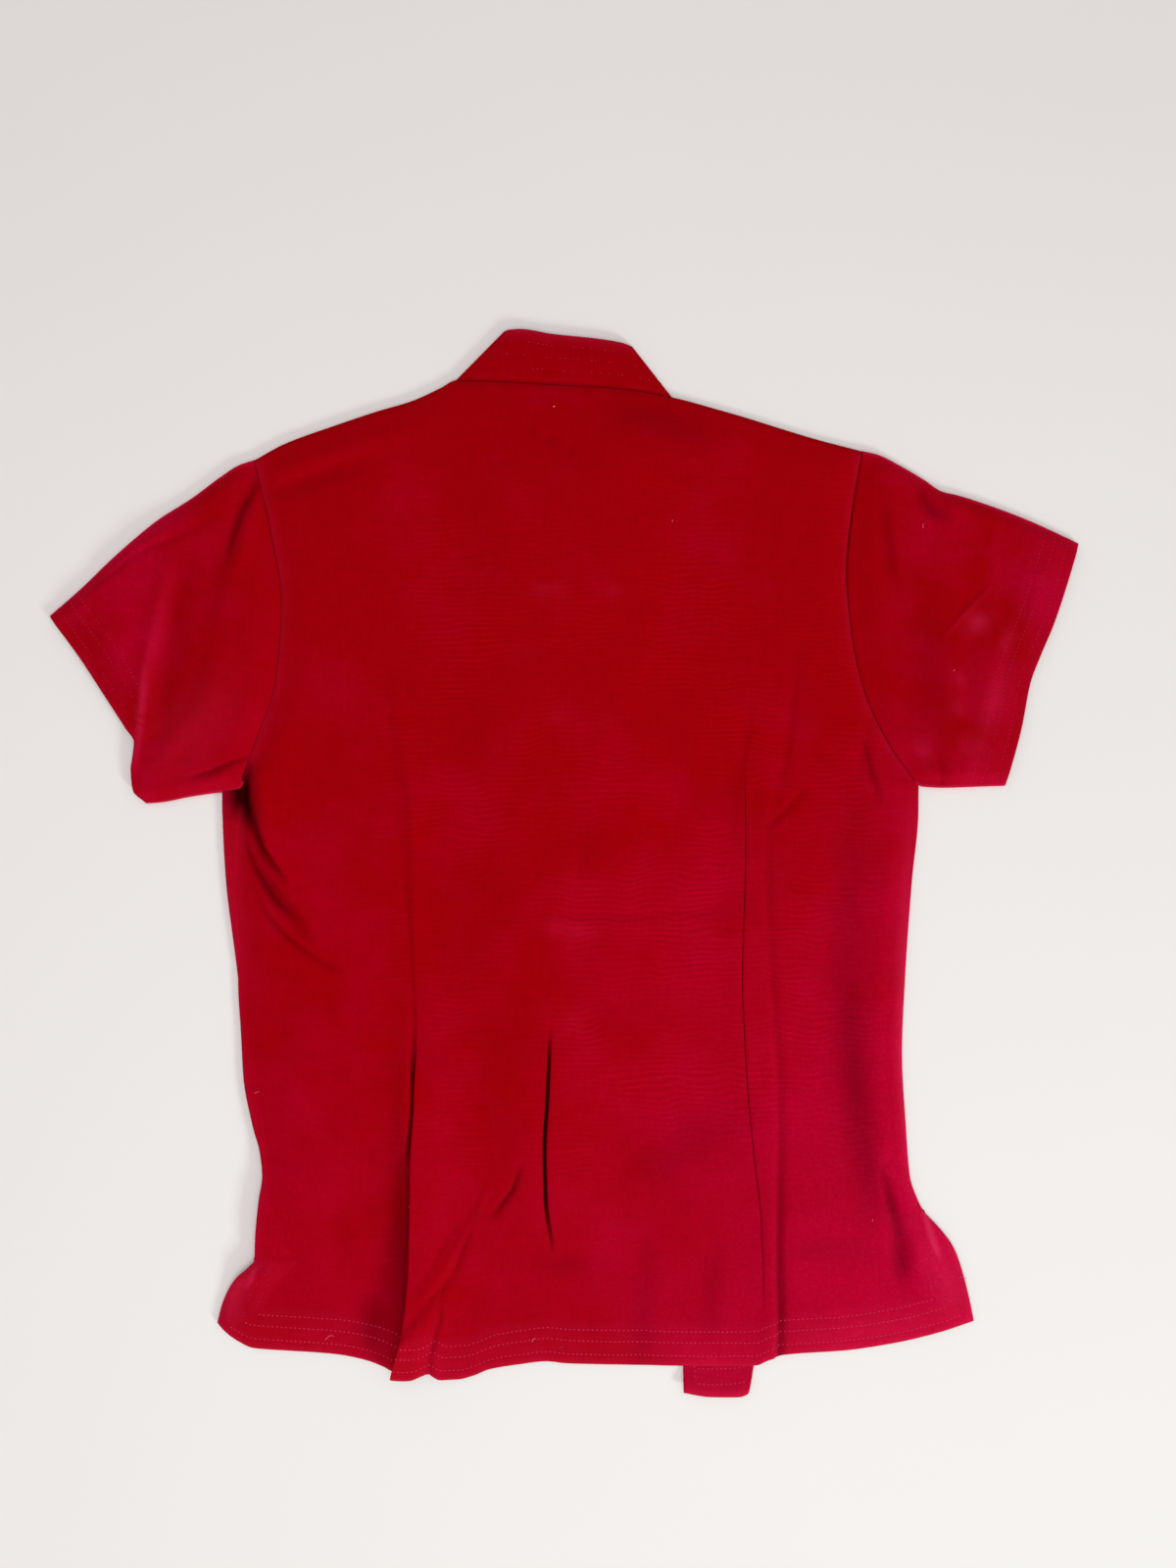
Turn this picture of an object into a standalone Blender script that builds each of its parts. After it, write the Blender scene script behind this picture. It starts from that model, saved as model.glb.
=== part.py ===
"""Short-sleeved blouse with a stand collar, laid face down on a flat surface with its back upwards.

The fronts lie on the surface, the wearer's right one outermost, and the back lies on them. The sleeves and
the collar are flattened tubes. X runs towards the wearer's right, Y towards the collar and Z upwards. The
origin is under the middle of the garment. Tables and shapes are in millimetres, turned to metres where each
mesh is made.
"""
import math

import bpy
import numpy as np

# Driving dimensions, in millimetres
WALL = 1.2
LAYER_GAP = 0.6
SEAM_GAP = 0.3
NECK_SEAM_GAP = 0.5
FOLD_RADIUS = WALL + LAYER_GAP / 2
LAYER = WALL + LAYER_GAP
BODY_LOFT = 2.0
SLEEVE_LOFT = 2.4
COLLAR_LOFT = 0.6
LOFT_MARGIN = 22.0
SHOULDER_ROLL = 3.0
NECK_FADE = 30.0
UNROLLED_EDGE = 1.5
VENT_INSET = 3.0
SHOULDER_INSET = 3.2

BUTTON_COUNT = 6
BUTTON_RADIUS = 5.75
BUTTON_THICKNESS = 2.0
BUTTON_EDGE = 0.5
FIRST_BUTTON_Y = 259.0
BUTTON_SPACING = 74.0
STAND_HALF = 15.6
STAND_LIFT = BUTTON_THICKNESS + SEAM_GAP
LIFT_RAMP = 60.0

FRONT_NECK_Y = 268.0
COLLAR_END_X = 2.5
COLLAR_HEIGHT = 36.0
COLLAR_END_ROUNDING = 9.0

METRES = 0.001
CLOTH_RED = (0.42, 0.004, 0.012, 1.0)
BUTTON_RED = (0.20, 0.004, 0.010, 1.0)

# Folds and lips
FADE_START = 0.05
FADE_POWER = 0.7
DART_SLIT = 3.2
DART_REACH = 16.0
CENTRE_SLIT_HALF = 2.8
CENTRE_REACH = 30.0
RIGHT_DART_SLIT = 3.0
RIGHT_DART_REACH = 8.0
PLEAT_SLIT = 1.5
PLEAT_REACH = 7.0
STAND_STEP_START = 30.0
STAND_STEP = 24.0
SLEEVE_END_FADE = 0.16
SLEEVE_SEAM_FADE = 0.1
SLEEVE_EDGE_COLUMNS = 2.0
COLLAR_END_FADE = 0.15
COLLAR_CORNER = 0.7
ROUGHNESS = 0.85

# Steps of the meshes
BEYOND = 400.0
ROW_TOLERANCE = 1.0
BUTTON_SIDES = 16
VENT_ROWS = 3
SIDE_ROWS = 14
ARMHOLE_ROWS = 10
SLEEVE_STATIONS = 13
NECK_STATIONS = 7
COLLAR_STATIONS = 13
COLLAR_ROWS = 5
TURN_ANGLES = (90.0, 45.0, 0.0, -45.0, -90.0)

# Outline of the body at the sides, from the hem up: y, x, and how far the front wraps over onto the back
LEFT_SIDE = (
    (-329, -248.0, 0.0), (-317, -245.0, 0.0), (-306, -240.5, 0.0), (-295, -233.0, 0.0),
    (-289, -226.0, 1.0), (-283, -221.0, 3.0), (-262, -219.6, 2.2), (-240, -217.5, 2.2),
    (-224, -215.2, 2.2), (-206, -217.3, 2.2), (-189, -222.2, 2.2), (-154, -229.2, 2.2),
    (-119, -231.3, 2.2), (-66, -235.5, 4.2), (-14, -241.8, 8.4), (21, -243.9, 12.2),
    (44, -244.6, 14.6), (62, -244.6, 14.6),
)
RIGHT_SIDE = (
    (-327, 293.0, 0.0), (-312, 290.0, 0.0), (-284, 282.4, 0.0), (-273, 277.5, 0.0),
    (-261, 268.4, 0.0), (-250, 258.0, 3.0), (-241, 253.0, 2.2), (-224, 247.4, 2.2),
    (-189, 244.6, 2.2), (-136, 241.8, 2.2), (-84, 243.9, 2.2), (-14, 248.8, 2.2),
    (36, 253.5, 2.4), (58, 253.7, 2.4),
)
LEFT_VENT_TOP = -283.0
RIGHT_VENT_TOP = -250.0

# Armhole seams, from the underarm to the tip of the shoulder: y, x on the back, x on the front
LEFT_ARMHOLE = (
    (62, -230.0, -230.0), (89, -220.0, -214.0), (131, -206.3, -198.0), (187, -202.0, -196.0),
    (237, -209.7, -206.0), (287, -221.6, -221.6),
)
RIGHT_ARMHOLE = (
    (58, 251.3, 251.3), (83, 233.5, 227.5), (121, 215.2, 207.0), (160, 206.2, 198.5),
    (205, 202.0, 196.5), (253, 206.2, 202.5), (293, 213.2, 213.2),
)

# Lower edge of the back, from the wearer's left: x, y
BACK_HEM = (
    (-248, -329.0), (-244, -334.0), (-233, -341.5), (-222, -346.0), (-200, -348.0), (-166, -350.3),
    (-144, -354.5), (-128, -360.5), (-123, -367.0), (-110, -370.6), (-98, -365.5), (-88, -370.0),
    (-76, -369.2), (-65, -366.4), (-54, -361.5), (-32, -358.0), (-12, -355.9), (2, -358.0),
    (80, -358.8), (136, -358.8), (147, -353.8), (158, -351.0), (203, -347.5), (237, -342.0),
    (270, -333.8), (293, -327.0),
)
# Upper edge of the back, over the left shoulder, the neck seam and the right shoulder: x, y
BACK_TOP = (
    (-221.6, 287.0), (-200, 298.5), (-166, 311.0), (-133, 323.0), (-110, 330.0), (-88, 339.0),
    (-77, 345.0), (-42, 344.0), (-8, 342.0), (32, 339.8), (54, 337.3), (77, 332.7), (91, 328.6),
    (125, 318.8), (158, 308.3), (181, 301.3), (213.2, 293.0),
)
NECK_LEFT_X = -77.0
NECK_RIGHT_X = 77.0

# Lines down the back that the mesh follows, from the hem up: y, x
LEFT_DART = (
    (-367, -124.0), (-359, -122.0), (-331, -114.5), (-286, -110.3), (-209, -109.5), (-169, -106.8),
    (-112, -107.5), (-65, -109.5), (-28, -113.0), (43, -114.5), (84, -119.0), (161, -120.7),
    (326, -118.0),
)
CENTRE_SLIT = (
    (-356, -11.0), (-276, -9.0), (-240, -13.0), (-203, -13.7), (-164, -11.6), (-122, -10.2),
    (342, -8.0),
)
RIGHT_DART = (
    (-356, 142.0), (-308, 141.8), (-257, 140.4), (-211, 135.5), (-168, 131.3), (-123, 128.5),
    (-84, 127.0), (40, 129.5), (71, 135.5), (125, 142.4), (164, 143.0), (313, 143.0),
)
RIGHT_PLEAT = (
    (-350, 153.0), (-320, 153.0), (-285, 149.5), (-194, 153.0), (-149, 153.0), (-119, 149.5),
    (-27, 145.5), (18, 151.0), (60, 159.0), (143, 165.0), (305, 168.0),
)
NECK_LEFT_LINE = ((-369, -72.0), (345, NECK_LEFT_X))
NECK_RIGHT_LINE = ((-358, 84.0), (333, NECK_RIGHT_X))

# Height of the lips beside the lines down the back: y, height left of the line, height right of it,
# height of the floor between them
LEFT_DART_LIPS = (
    (-370, 1.2, 6.5, 0.2), (-331, 1.6, 6.5, 0.0), (-286, 2.0, 6.0, 0.0), (-209, 2.6, 5.5, 0.0),
    (-169, 4.6, 4.6, 0.0), (-112, 4.6, 3.6, 0.6), (-28, 3.6, 2.6, 1.0), (43, 2.6, 2.2, 1.4),
    (110, 2.0, 2.0, 2.0),
)
CENTRE_SLIT_LIPS = (
    (-300, 2.0, 2.0, 2.0), (-276, 3.4, 3.4, 2.2), (-240, 4.8, 4.8, 0.2), (-164, 4.8, 4.8, 0.2),
    (-122, 3.6, 3.6, 2.4), (-90, 2.0, 2.0, 2.0),
)
RIGHT_DART_LIPS = (
    (-356, 2.4, 2.6, 1.4), (-211, 2.8, 2.8, 1.0), (-84, 2.8, 2.8, 1.0), (40, 2.4, 2.4, 1.2),
    (90, 2.0, 2.0, 2.0),
)
RIGHT_PLEAT_LIPS = (
    (-350, 4.4, 1.4, 1.4), (-271, 4.2, 1.4, 1.4), (-149, 3.8, 1.6, 1.6), (-27, 3.2, 1.8, 1.8),
    (60, 2.8, 2.0, 2.0), (143, 2.0, 2.0, 2.0),
)

# Soft folds of the back: x and y at the start, the middle and the end, height, half width
BACK_FOLDS = (
    (-228, 20, -205, -22, -165, -68, 3.6, 9.0),
    (-222, 44, -214, 8, -196, -34, -2.6, 9.0),
    (-58, -234, -74, -270, -100, -306, 2.4, 8.0),
    (-66, -250, -78, -284, -92, -306, -2.0, 6.0),
    (-88, -308, -90, -336, -98, -364, -2.6, 6.0),
    (212, 34, 212, -60, 212, -206, -1.4, 22.0),
    (226, -222, 236, -258, 242, -288, -1.8, 7.0),
    (20, -300, 30, -330, 40, -356, 1.2, 24.0),
)

# Left sleeve, from the shoulder tip along the folded top edge to the cuff, and along the cuff and the
# underarm: x, y
LEFT_SLEEVE_TOP = (
    (-221.9, 287.2), (-233.4, 283.1), (-244.6, 276.1), (-267, 260.0), (-289.4, 246.0),
    (-300.6, 237.6), (-323, 218.0), (-345.4, 196.3), (-367.8, 176.6),
)
LEFT_SLEEVE_CUFF = (
    (-367.8, 176.6), (-346, 147.0), (-328, 119.5), (-305.9, 87.2), (-309.8, 68.0), (-308.5, 52.0),
    (-298.5, 42.4),
)
LEFT_SLEEVE_UNDERARM = (
    (-230.8, 62.2), (-238, 55.0), (-245, 51.2), (-267, 47.2), (-289.4, 43.0), (-298.5, 42.4),
)
LEFT_SLEEVE_FOLDS = (
    (-217, 268, -234, 244, -246, 202, -2.6, 5.0),
    (-282, 212, -294, 158, -304, 96, 3.2, 8.0),
    (-342, 194, -318, 214, -290, 226, -1.4, 5.0),
    (-266, 62, -248, 66, -226, 73, -1.6, 5.0),
)

# Right sleeve, in the same way
RIGHT_SLEEVE_TOP = (
    (213.5, 293.2), (224, 291.0), (242.5, 281.8), (270.5, 264.5), (281.8, 262.1), (304, 255.1),
    (326.5, 246.7), (349, 236.9), (367.8, 228.5),
)
RIGHT_SLEEVE_CUFF = (
    (367.8, 228.5), (358.9, 198.0), (349.7, 170.5), (339.2, 145.6), (332.9, 128.5), (326.6, 96.0),
    (315.3, 55.8),
)
RIGHT_SLEEVE_UNDERARM = (
    (252.1, 58.2), (256.5, 55.2), (271, 55.0), (296.5, 55.9), (315.3, 55.8),
)
RIGHT_SLEEVE_FOLDS = (
    (256, 266, 262, 256, 268, 250, -1.8, 4.0),
    (226, 262, 232, 238, 234, 208, -1.6, 8.0),
    (303, 196, 288, 178, 270, 162, 1.0, 6.0),
    (268, 85, 270, 72, 272, 58, -1.2, 5.0),
    (318, 226, 306, 180, 296, 120, 1.4, 14.0),
)

# Fronts: free edges from the hem up (y, x) and lower edges (x, y)
LEFT_FREE_EDGE = ((-349, -25.0), (-112, STAND_HALF), (FRONT_NECK_Y, STAND_HALF))
RIGHT_FREE_EDGE = ((-378.5, 85.4), (-112, -STAND_HALF), (FRONT_NECK_Y, -STAND_HALF))
LEFT_FRONT_HEM = (
    (-244, -323.0), (-230, -335.0), (-200, -342.0), (-150, -346.0), (-110, -356.0), (-25, -349.0),
)
RIGHT_FRONT_HEM = (
    (85.4, -378.5), (104, -381.1), (124, -381.1), (130.5, -378.0), (133, -366.0), (136, -352.0),
    (150, -346.0), (200, -342.0), (240, -336.0), (275, -325.0), (289, -321.0),
)
LEFT_FRONT_HEM_STATIONS = np.linspace(LEFT_FRONT_HEM[0][0], LEFT_FRONT_HEM[-1][0], 13)
RIGHT_FRONT_HEM_STATIONS = (85.4, 97.0, 111.0, 124.0, 130.5, 133.0, 136.0, 150.0, 178.0, 206.0, 236.0,
                            264.0, 289.0)

# Front half of the collar: control points of its seam and its upper edge, from the fold to the front: x, y
COLLAR_LEFT_SEAM = ((NECK_LEFT_X, 345.0), (-76, 300.0), (-45, FRONT_NECK_Y), (0, FRONT_NECK_Y))
COLLAR_LEFT_EDGE = ((-41, 380.0), (-50, 330.0), (-32, 304.0), (0, FRONT_NECK_Y + COLLAR_HEIGHT))
COLLAR_RIGHT_SEAM = ((NECK_RIGHT_X, 332.7), (76, 295.0), (45, FRONT_NECK_Y), (0, FRONT_NECK_Y))
COLLAR_RIGHT_EDGE = ((49, 369.0), (51, 326.0), (30, 304.0), (0, FRONT_NECK_Y + COLLAR_HEIGHT))
# Upper edge of the collar across the back: x, y
COLLAR_TOP = ((-41, 380.0), (-31, 381.2), (-9, 377.8), (24, 374.3), (41, 371.5), (49, 369.0))


def soft_step(share):
    """Rise from 0 to 1 that starts and ends level."""
    share = np.clip(share, 0.0, 1.0)
    return share * share * (3.0 - 2.0 * share)


def through(places, values, at):
    """Smooth curve through known values, held level past its ends.

    Each stretch is a cubic. Its slope at a known value is the harmonic mean of the slopes on both sides,
    or nought at a peak, so that the curve never swings past its values.
    """
    places = np.asarray(places, dtype=float)
    values = np.asarray(values, dtype=float)
    step = np.diff(places)
    slope = np.diff(values) / step
    product = slope[:-1] * slope[1:]
    total = np.where(product > 0.0, slope[:-1] + slope[1:], 1.0)
    middle = np.where(product > 0.0, 2.0 * product / total, 0.0)
    tangent = np.concatenate([slope[:1], middle, slope[-1:]])
    at = np.clip(at, places[0], places[-1])
    index = np.clip(np.searchsorted(places, at) - 1, 0, len(step) - 1)
    share = (at - places[index]) / step[index]
    start = (1.0 + 2.0 * share) * (1.0 - share) ** 2 * values[index]
    end = share ** 2 * (3.0 - 2.0 * share) * values[index + 1]
    lean = share * (1.0 - share) ** 2 * tangent[index] - share ** 2 * (1.0 - share) * tangent[index + 1]
    return start + end + lean * step[index]


def column(rows, number):
    """One column of a table."""
    return np.array([row[number] for row in rows], dtype=float)


def line(rows, at, number=1):
    """A table's column read at a place given in its first column."""
    return through(column(rows, 0), column(rows, number), at)


def path(rows, shares):
    """Points at shares of the length of a smooth path through x, y rows."""
    points = np.array(rows, dtype=float)
    length = np.concatenate([[0.0], np.cumsum(np.hypot(*np.diff(points, axis=0).T))])
    at = np.asarray(shares) * length[-1]
    return np.stack([through(length, points[:, 0], at), through(length, points[:, 1], at)], axis=-1)


def bezier(controls, shares):
    """Points on the cubic curve that four control points pull."""
    first, second, third, last = (np.array(point, dtype=float) for point in controls)
    share = np.asarray(shares)[:, None]
    rest = 1.0 - share
    return (rest ** 3 * first + 3 * rest ** 2 * share * second
            + 3 * rest * share ** 2 * third + share ** 3 * last)


def patch(low, high, left, right, across, up):
    """Points inside four edges, as rows of points.

    Each point blends the lower and upper edges by its share upwards, and the left and right edges by its
    share across, less the blend of the four corners, so all four edges are met.
    """
    u = np.asarray(across)[None, :, None]
    v = np.asarray(up)[:, None, None]
    between_rows = (1 - v) * low[None] + v * high[None]
    between_sides = (1 - u) * left[:, None] + u * right[:, None]
    corners = ((1 - v) * ((1 - u) * low[0] + u * low[-1])
               + v * ((1 - u) * high[0] + u * high[-1]))
    return between_rows + between_sides - corners


def spaced(count):
    """Even shares from 0 to 1."""
    return np.linspace(0.0, 1.0, count)


def levels(*heights):
    """Row heights from the hem to the top through the vent top and the underarm, in even steps."""
    counts = (VENT_ROWS, SIDE_ROWS, ARMHOLE_ROWS)
    rows = [heights[0][None]]
    for count, low, high in zip(counts, heights[:-1], heights[1:]):
        shares = spaced(count + 1)[1:, None]
        rows.append(low + (high - low) * shares)
    return np.concatenate(rows)


def side_heights():
    """Heights of the rows on the left side and on the right side of the body."""
    left = (LEFT_SIDE[0][0], LEFT_VENT_TOP, LEFT_ARMHOLE[0][0], LEFT_ARMHOLE[-1][0])
    right = (RIGHT_SIDE[0][0], RIGHT_VENT_TOP, RIGHT_ARMHOLE[0][0], RIGHT_ARMHOLE[-1][0])
    pairs = np.array([left, right], dtype=float).T
    return levels(*pairs).T


def plateau(value, half, ramp):
    """1 within half of the middle, falling softly to 0 over the ramp."""
    return 1.0 - soft_step((np.abs(value) - half) / ramp)


def stand_reach(y, low, high, ramp):
    """1 between two heights, falling softly to 0 above and below them."""
    return soft_step((y - low + ramp) / ramp) * (1.0 - soft_step((y - high) / ramp))


def button_lift(x, y):
    """How far the cloth is lifted off the surface by the row of buttons under it."""
    last = FIRST_BUTTON_Y - BUTTON_SPACING * (BUTTON_COUNT - 1)
    along = stand_reach(y, last - BUTTON_RADIUS * 3, FRONT_NECK_Y + BUTTON_RADIUS, LIFT_RAMP)
    return STAND_LIFT * plateau(x, STAND_HALF * 1.6, LIFT_RAMP) * along


def overlap_lift(x, y):
    """How far the back is lifted where one front lies on the other."""
    along = stand_reach(y, -190.0, FRONT_NECK_Y + BUTTON_RADIUS, LIFT_RAMP)
    return LAYER * plateau(x, STAND_HALF * 2.5, LIFT_RAMP) * along


def folds(x, y, rows):
    """Height of soft folds: a bell across each one's path, fading out at its two ends."""
    total = np.zeros_like(x)
    for start_x, start_y, middle_x, middle_y, end_x, end_y, height, width in rows:
        places = ((start_x, start_y), (middle_x, middle_y), (end_x, end_y))
        nearest = np.full_like(x, np.inf)
        share = np.zeros_like(x)
        for number, (one, two) in enumerate(zip(places[:-1], places[1:])):
            run = np.subtract(two, one)
            along = ((x - one[0]) * run[0] + (y - one[1]) * run[1]) / run.dot(run)
            along = np.clip(along, 0.0, 1.0)
            away = np.hypot(x - one[0] - along * run[0], y - one[1] - along * run[1])
            share = np.where(away < nearest, (number + along) / 2, share)
            nearest = np.minimum(away, nearest)
        fade = np.sin(np.pi * (FADE_START + share * (1.0 - 2.0 * FADE_START))) ** FADE_POWER
        total += height * fade * np.exp(-(nearest / width) ** 2)
    return total


def lips(x, y, line_rows, lip_rows, slit, reach):
    """Change in height beside a line: a narrow floor along it between two lips that level off outwards."""
    away = x - line(line_rows, y)
    left = line(lip_rows, y, 1)
    right = line(lip_rows, y, 2)
    floor = line(lip_rows, y, 3)
    lip = np.where(away < 0.0, left, right)
    crest = BODY_LOFT + (lip - BODY_LOFT) * np.exp(-(np.maximum(np.abs(away) - slit, 0.0) / reach) ** 2)
    wall = soft_step(np.abs(away) / slit)
    return floor + (crest - floor) * wall - BODY_LOFT


def object_from(name, points, faces, finish):
    """An object in the garment's collection, from points in millimetres."""
    mesh = bpy.data.meshes.new(name)
    mesh.from_pydata((np.asarray(points) * METRES).tolist(), [], faces)
    mesh.materials.append(finish)
    mesh.shade_smooth()
    body = bpy.data.objects.new(name, mesh)
    garment.objects.link(body)
    return body


def cloth(name, grid, finish, ring=False, upside_down=False):
    """A wall of cloth inside the outer surface through a grid of points in rows and columns."""
    rows, columns = grid.shape[:2]
    number = np.arange(rows * columns).reshape(rows, columns)
    if ring:
        number = np.concatenate([number, number[:, :1]], axis=1)
    corners = (number[:-1, :-1], number[:-1, 1:], number[1:, 1:], number[1:, :-1])
    if upside_down:
        corners = corners[::-1]
    faces = np.stack([corner.ravel() for corner in corners], axis=-1).tolist()
    body = object_from(name, grid.reshape(-1, 3), faces, finish)
    wall = body.modifiers.new("Wall", "SOLIDIFY")
    wall.thickness = WALL * METRES
    wall.offset = -1.0
    wall.use_quality_normals = True
    return body


def finish(name, colour, roughness):
    """A plain material."""
    material = bpy.data.materials.new(name)
    material.use_nodes = True
    shader = material.node_tree.nodes["Principled BSDF"]
    shader.inputs["Base Color"].default_value = colour
    shader.inputs["Roughness"].default_value = roughness
    shader.inputs["Metallic"].default_value = 0.0
    return material


def body_edge(y, side, armhole, vent_top, sign, on_back):
    """Where the back or a front ends at one side of the body, at the height of each row."""
    outline = line(side, y)
    wrap = line(side, y, 2)
    if on_back:
        beside = outline - sign * np.where(wrap > 0.0, wrap + SEAM_GAP, 0.0)
        sleeve = line(armhole, y, 1)
    else:
        beside = outline - sign * np.where(y < vent_top, VENT_INSET, 0.0)
        sleeve = line(armhole, y, 2)
    return np.where(y >= armhole[0][0], sleeve, beside)


def back_columns():
    """Columns of the back's mesh, from the wearer's left: two lines, the share between them, the shift."""
    def beside(rows, shifts):
        return [(rows, rows, 0.0, shift) for shift in shifts]

    def between(one, two, count, after=0.0, before=0.0):
        shares = spaced(count + 2)[1:-1]
        return [(one, two, share, after * (1 - share) - before * share) for share in shares]

    return (
        [("left", "left", 0.0, 0.0)]
        + between("left", LEFT_DART, 7, 4.0, 26.0)
        + beside(LEFT_DART, (-22.0, -13.0, -7.0, -3.2, 0.0, 3.2, 8.0, 18.0))
        + between(LEFT_DART, NECK_LEFT_LINE, 1, 18.0)
        + beside(NECK_LEFT_LINE, (0.0,))
        + between(NECK_LEFT_LINE, CENTRE_SLIT, 2, 0.0, 20.0)
        + beside(CENTRE_SLIT, (-16.0, -7.0, -2.8, 0.0, 2.8, 7.0, 18.0))
        + between(CENTRE_SLIT, NECK_RIGHT_LINE, 3, 18.0)
        + beside(NECK_RIGHT_LINE, (0.0,))
        + between(NECK_RIGHT_LINE, RIGHT_DART, 1, 0.0, 10.0)
        + beside(RIGHT_DART, (-9.0, -3.0, 0.0, 3.0))
        + between(RIGHT_DART, RIGHT_PLEAT, 1)
        + beside(RIGHT_PLEAT, (-1.0, 4.0, 12.0))
        + between(RIGHT_PLEAT, "right", 4, 12.0)
        + [("right", "right", 0.0, 0.0)]
    )


def back_height(x, y):
    """Height of the back's under side over the surface."""
    left = body_edge(y, LEFT_SIDE, LEFT_ARMHOLE, LEFT_VENT_TOP, -1, True)
    right = body_edge(y, RIGHT_SIDE, RIGHT_ARMHOLE, RIGHT_VENT_TOP, 1, True)
    sides = np.minimum(x - left, right - x)
    top = line(BACK_TOP, x) - y
    hem = y - line(BACK_HEM, x)
    ends = np.minimum(sides, top)
    loft = BODY_LOFT * soft_step(np.minimum(ends, hem) / LOFT_MARGIN)
    relief = folds(x, y, BACK_FOLDS)
    relief += lips(x, y, LEFT_DART, LEFT_DART_LIPS, DART_SLIT, DART_REACH)
    relief += lips(x, y, CENTRE_SLIT, CENTRE_SLIT_LIPS, CENTRE_SLIT_HALF, CENTRE_REACH)
    relief += lips(x, y, RIGHT_DART, RIGHT_DART_LIPS, RIGHT_DART_SLIT, RIGHT_DART_REACH)
    relief += lips(x, y, RIGHT_PLEAT, RIGHT_PLEAT_LIPS, PLEAT_SLIT, PLEAT_REACH)
    relief *= soft_step(ends / LOFT_MARGIN)
    bed = LAYER + button_lift(x, y) + overlap_lift(x, y)
    return bed + np.maximum(loft + relief, 0.0)


def back_panel():
    """The back, from the hem to the shoulders, with its darts and the folds beside them."""
    left_y, right_y = side_heights()

    def place(name, y):
        if name == "left":
            return body_edge(y, LEFT_SIDE, LEFT_ARMHOLE, LEFT_VENT_TOP, -1, True)
        if name == "right":
            return body_edge(y, RIGHT_SIDE, RIGHT_ARMHOLE, RIGHT_VENT_TOP, 1, True)
        return line(name, y)

    def spot(one, two, share, shift, y):
        return (1 - share) * place(one, y) + share * place(two, y) + shift

    columns = back_columns()
    far = np.array([-BEYOND, BEYOND])
    ends = np.array([spot(*entry, far) for entry in columns])
    hem = line(BACK_HEM, ends[:, 0])
    top = line(BACK_TOP, ends[:, 1])
    across = (ends.mean(axis=1) - LEFT_SIDE[0][1]) / (RIGHT_SIDE[0][1] - LEFT_SIDE[0][1])
    across[0] = 0.0
    across[-1] = 1.0
    vent = LEFT_VENT_TOP + (RIGHT_VENT_TOP - LEFT_VENT_TOP) * across
    underarm = LEFT_ARMHOLE[0][0] + (RIGHT_ARMHOLE[0][0] - LEFT_ARMHOLE[0][0]) * across
    y = levels(hem, vent, underarm, top)
    y = np.concatenate([y[:-1], y[-1:] - SHOULDER_ROLL, y[-1:]])
    x = np.stack([spot(*entry, y[:, number]) for number, entry in enumerate(columns)], axis=1)
    z = back_height(x, y) + WALL
    from_neck = np.maximum(NECK_LEFT_X - x[-1], x[-1] - NECK_RIGHT_X)
    z[-1] += (WALL - z[-1]) * soft_step((from_neck - SHOULDER_ROLL) / NECK_FADE)
    return cloth("back", np.stack([x, y, z], axis=-1), finish("back_cloth", CLOTH_RED, ROUGHNESS))


def turned_edge(edge, wrap, rolled, sign):
    """Columns of a front's side edge, from its end inwards: turned up round the fold onto the back where
    the side seam is sewn, and flat at the vent and the armhole."""
    columns = []
    inward = -sign
    flat = np.linspace(0.0, UNROLLED_EDGE, len(TURN_ANGLES) + 1)
    x = np.where(rolled, edge + inward * wrap, edge)
    z = np.where(rolled, 2 * FOLD_RADIUS, 0.0)
    columns.append((x, z))
    for angle, share in zip(TURN_ANGLES[:-1], flat[1:-1]):
        turn = math.radians(angle)
        away = FOLD_RADIUS * (1 - math.cos(turn))
        height = FOLD_RADIUS * (1 + math.sin(turn))
        x = np.where(rolled, edge + inward * away, edge + inward * share)
        z = np.where(rolled, height, 0.0)
        columns.append((x, z))
    return columns


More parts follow.
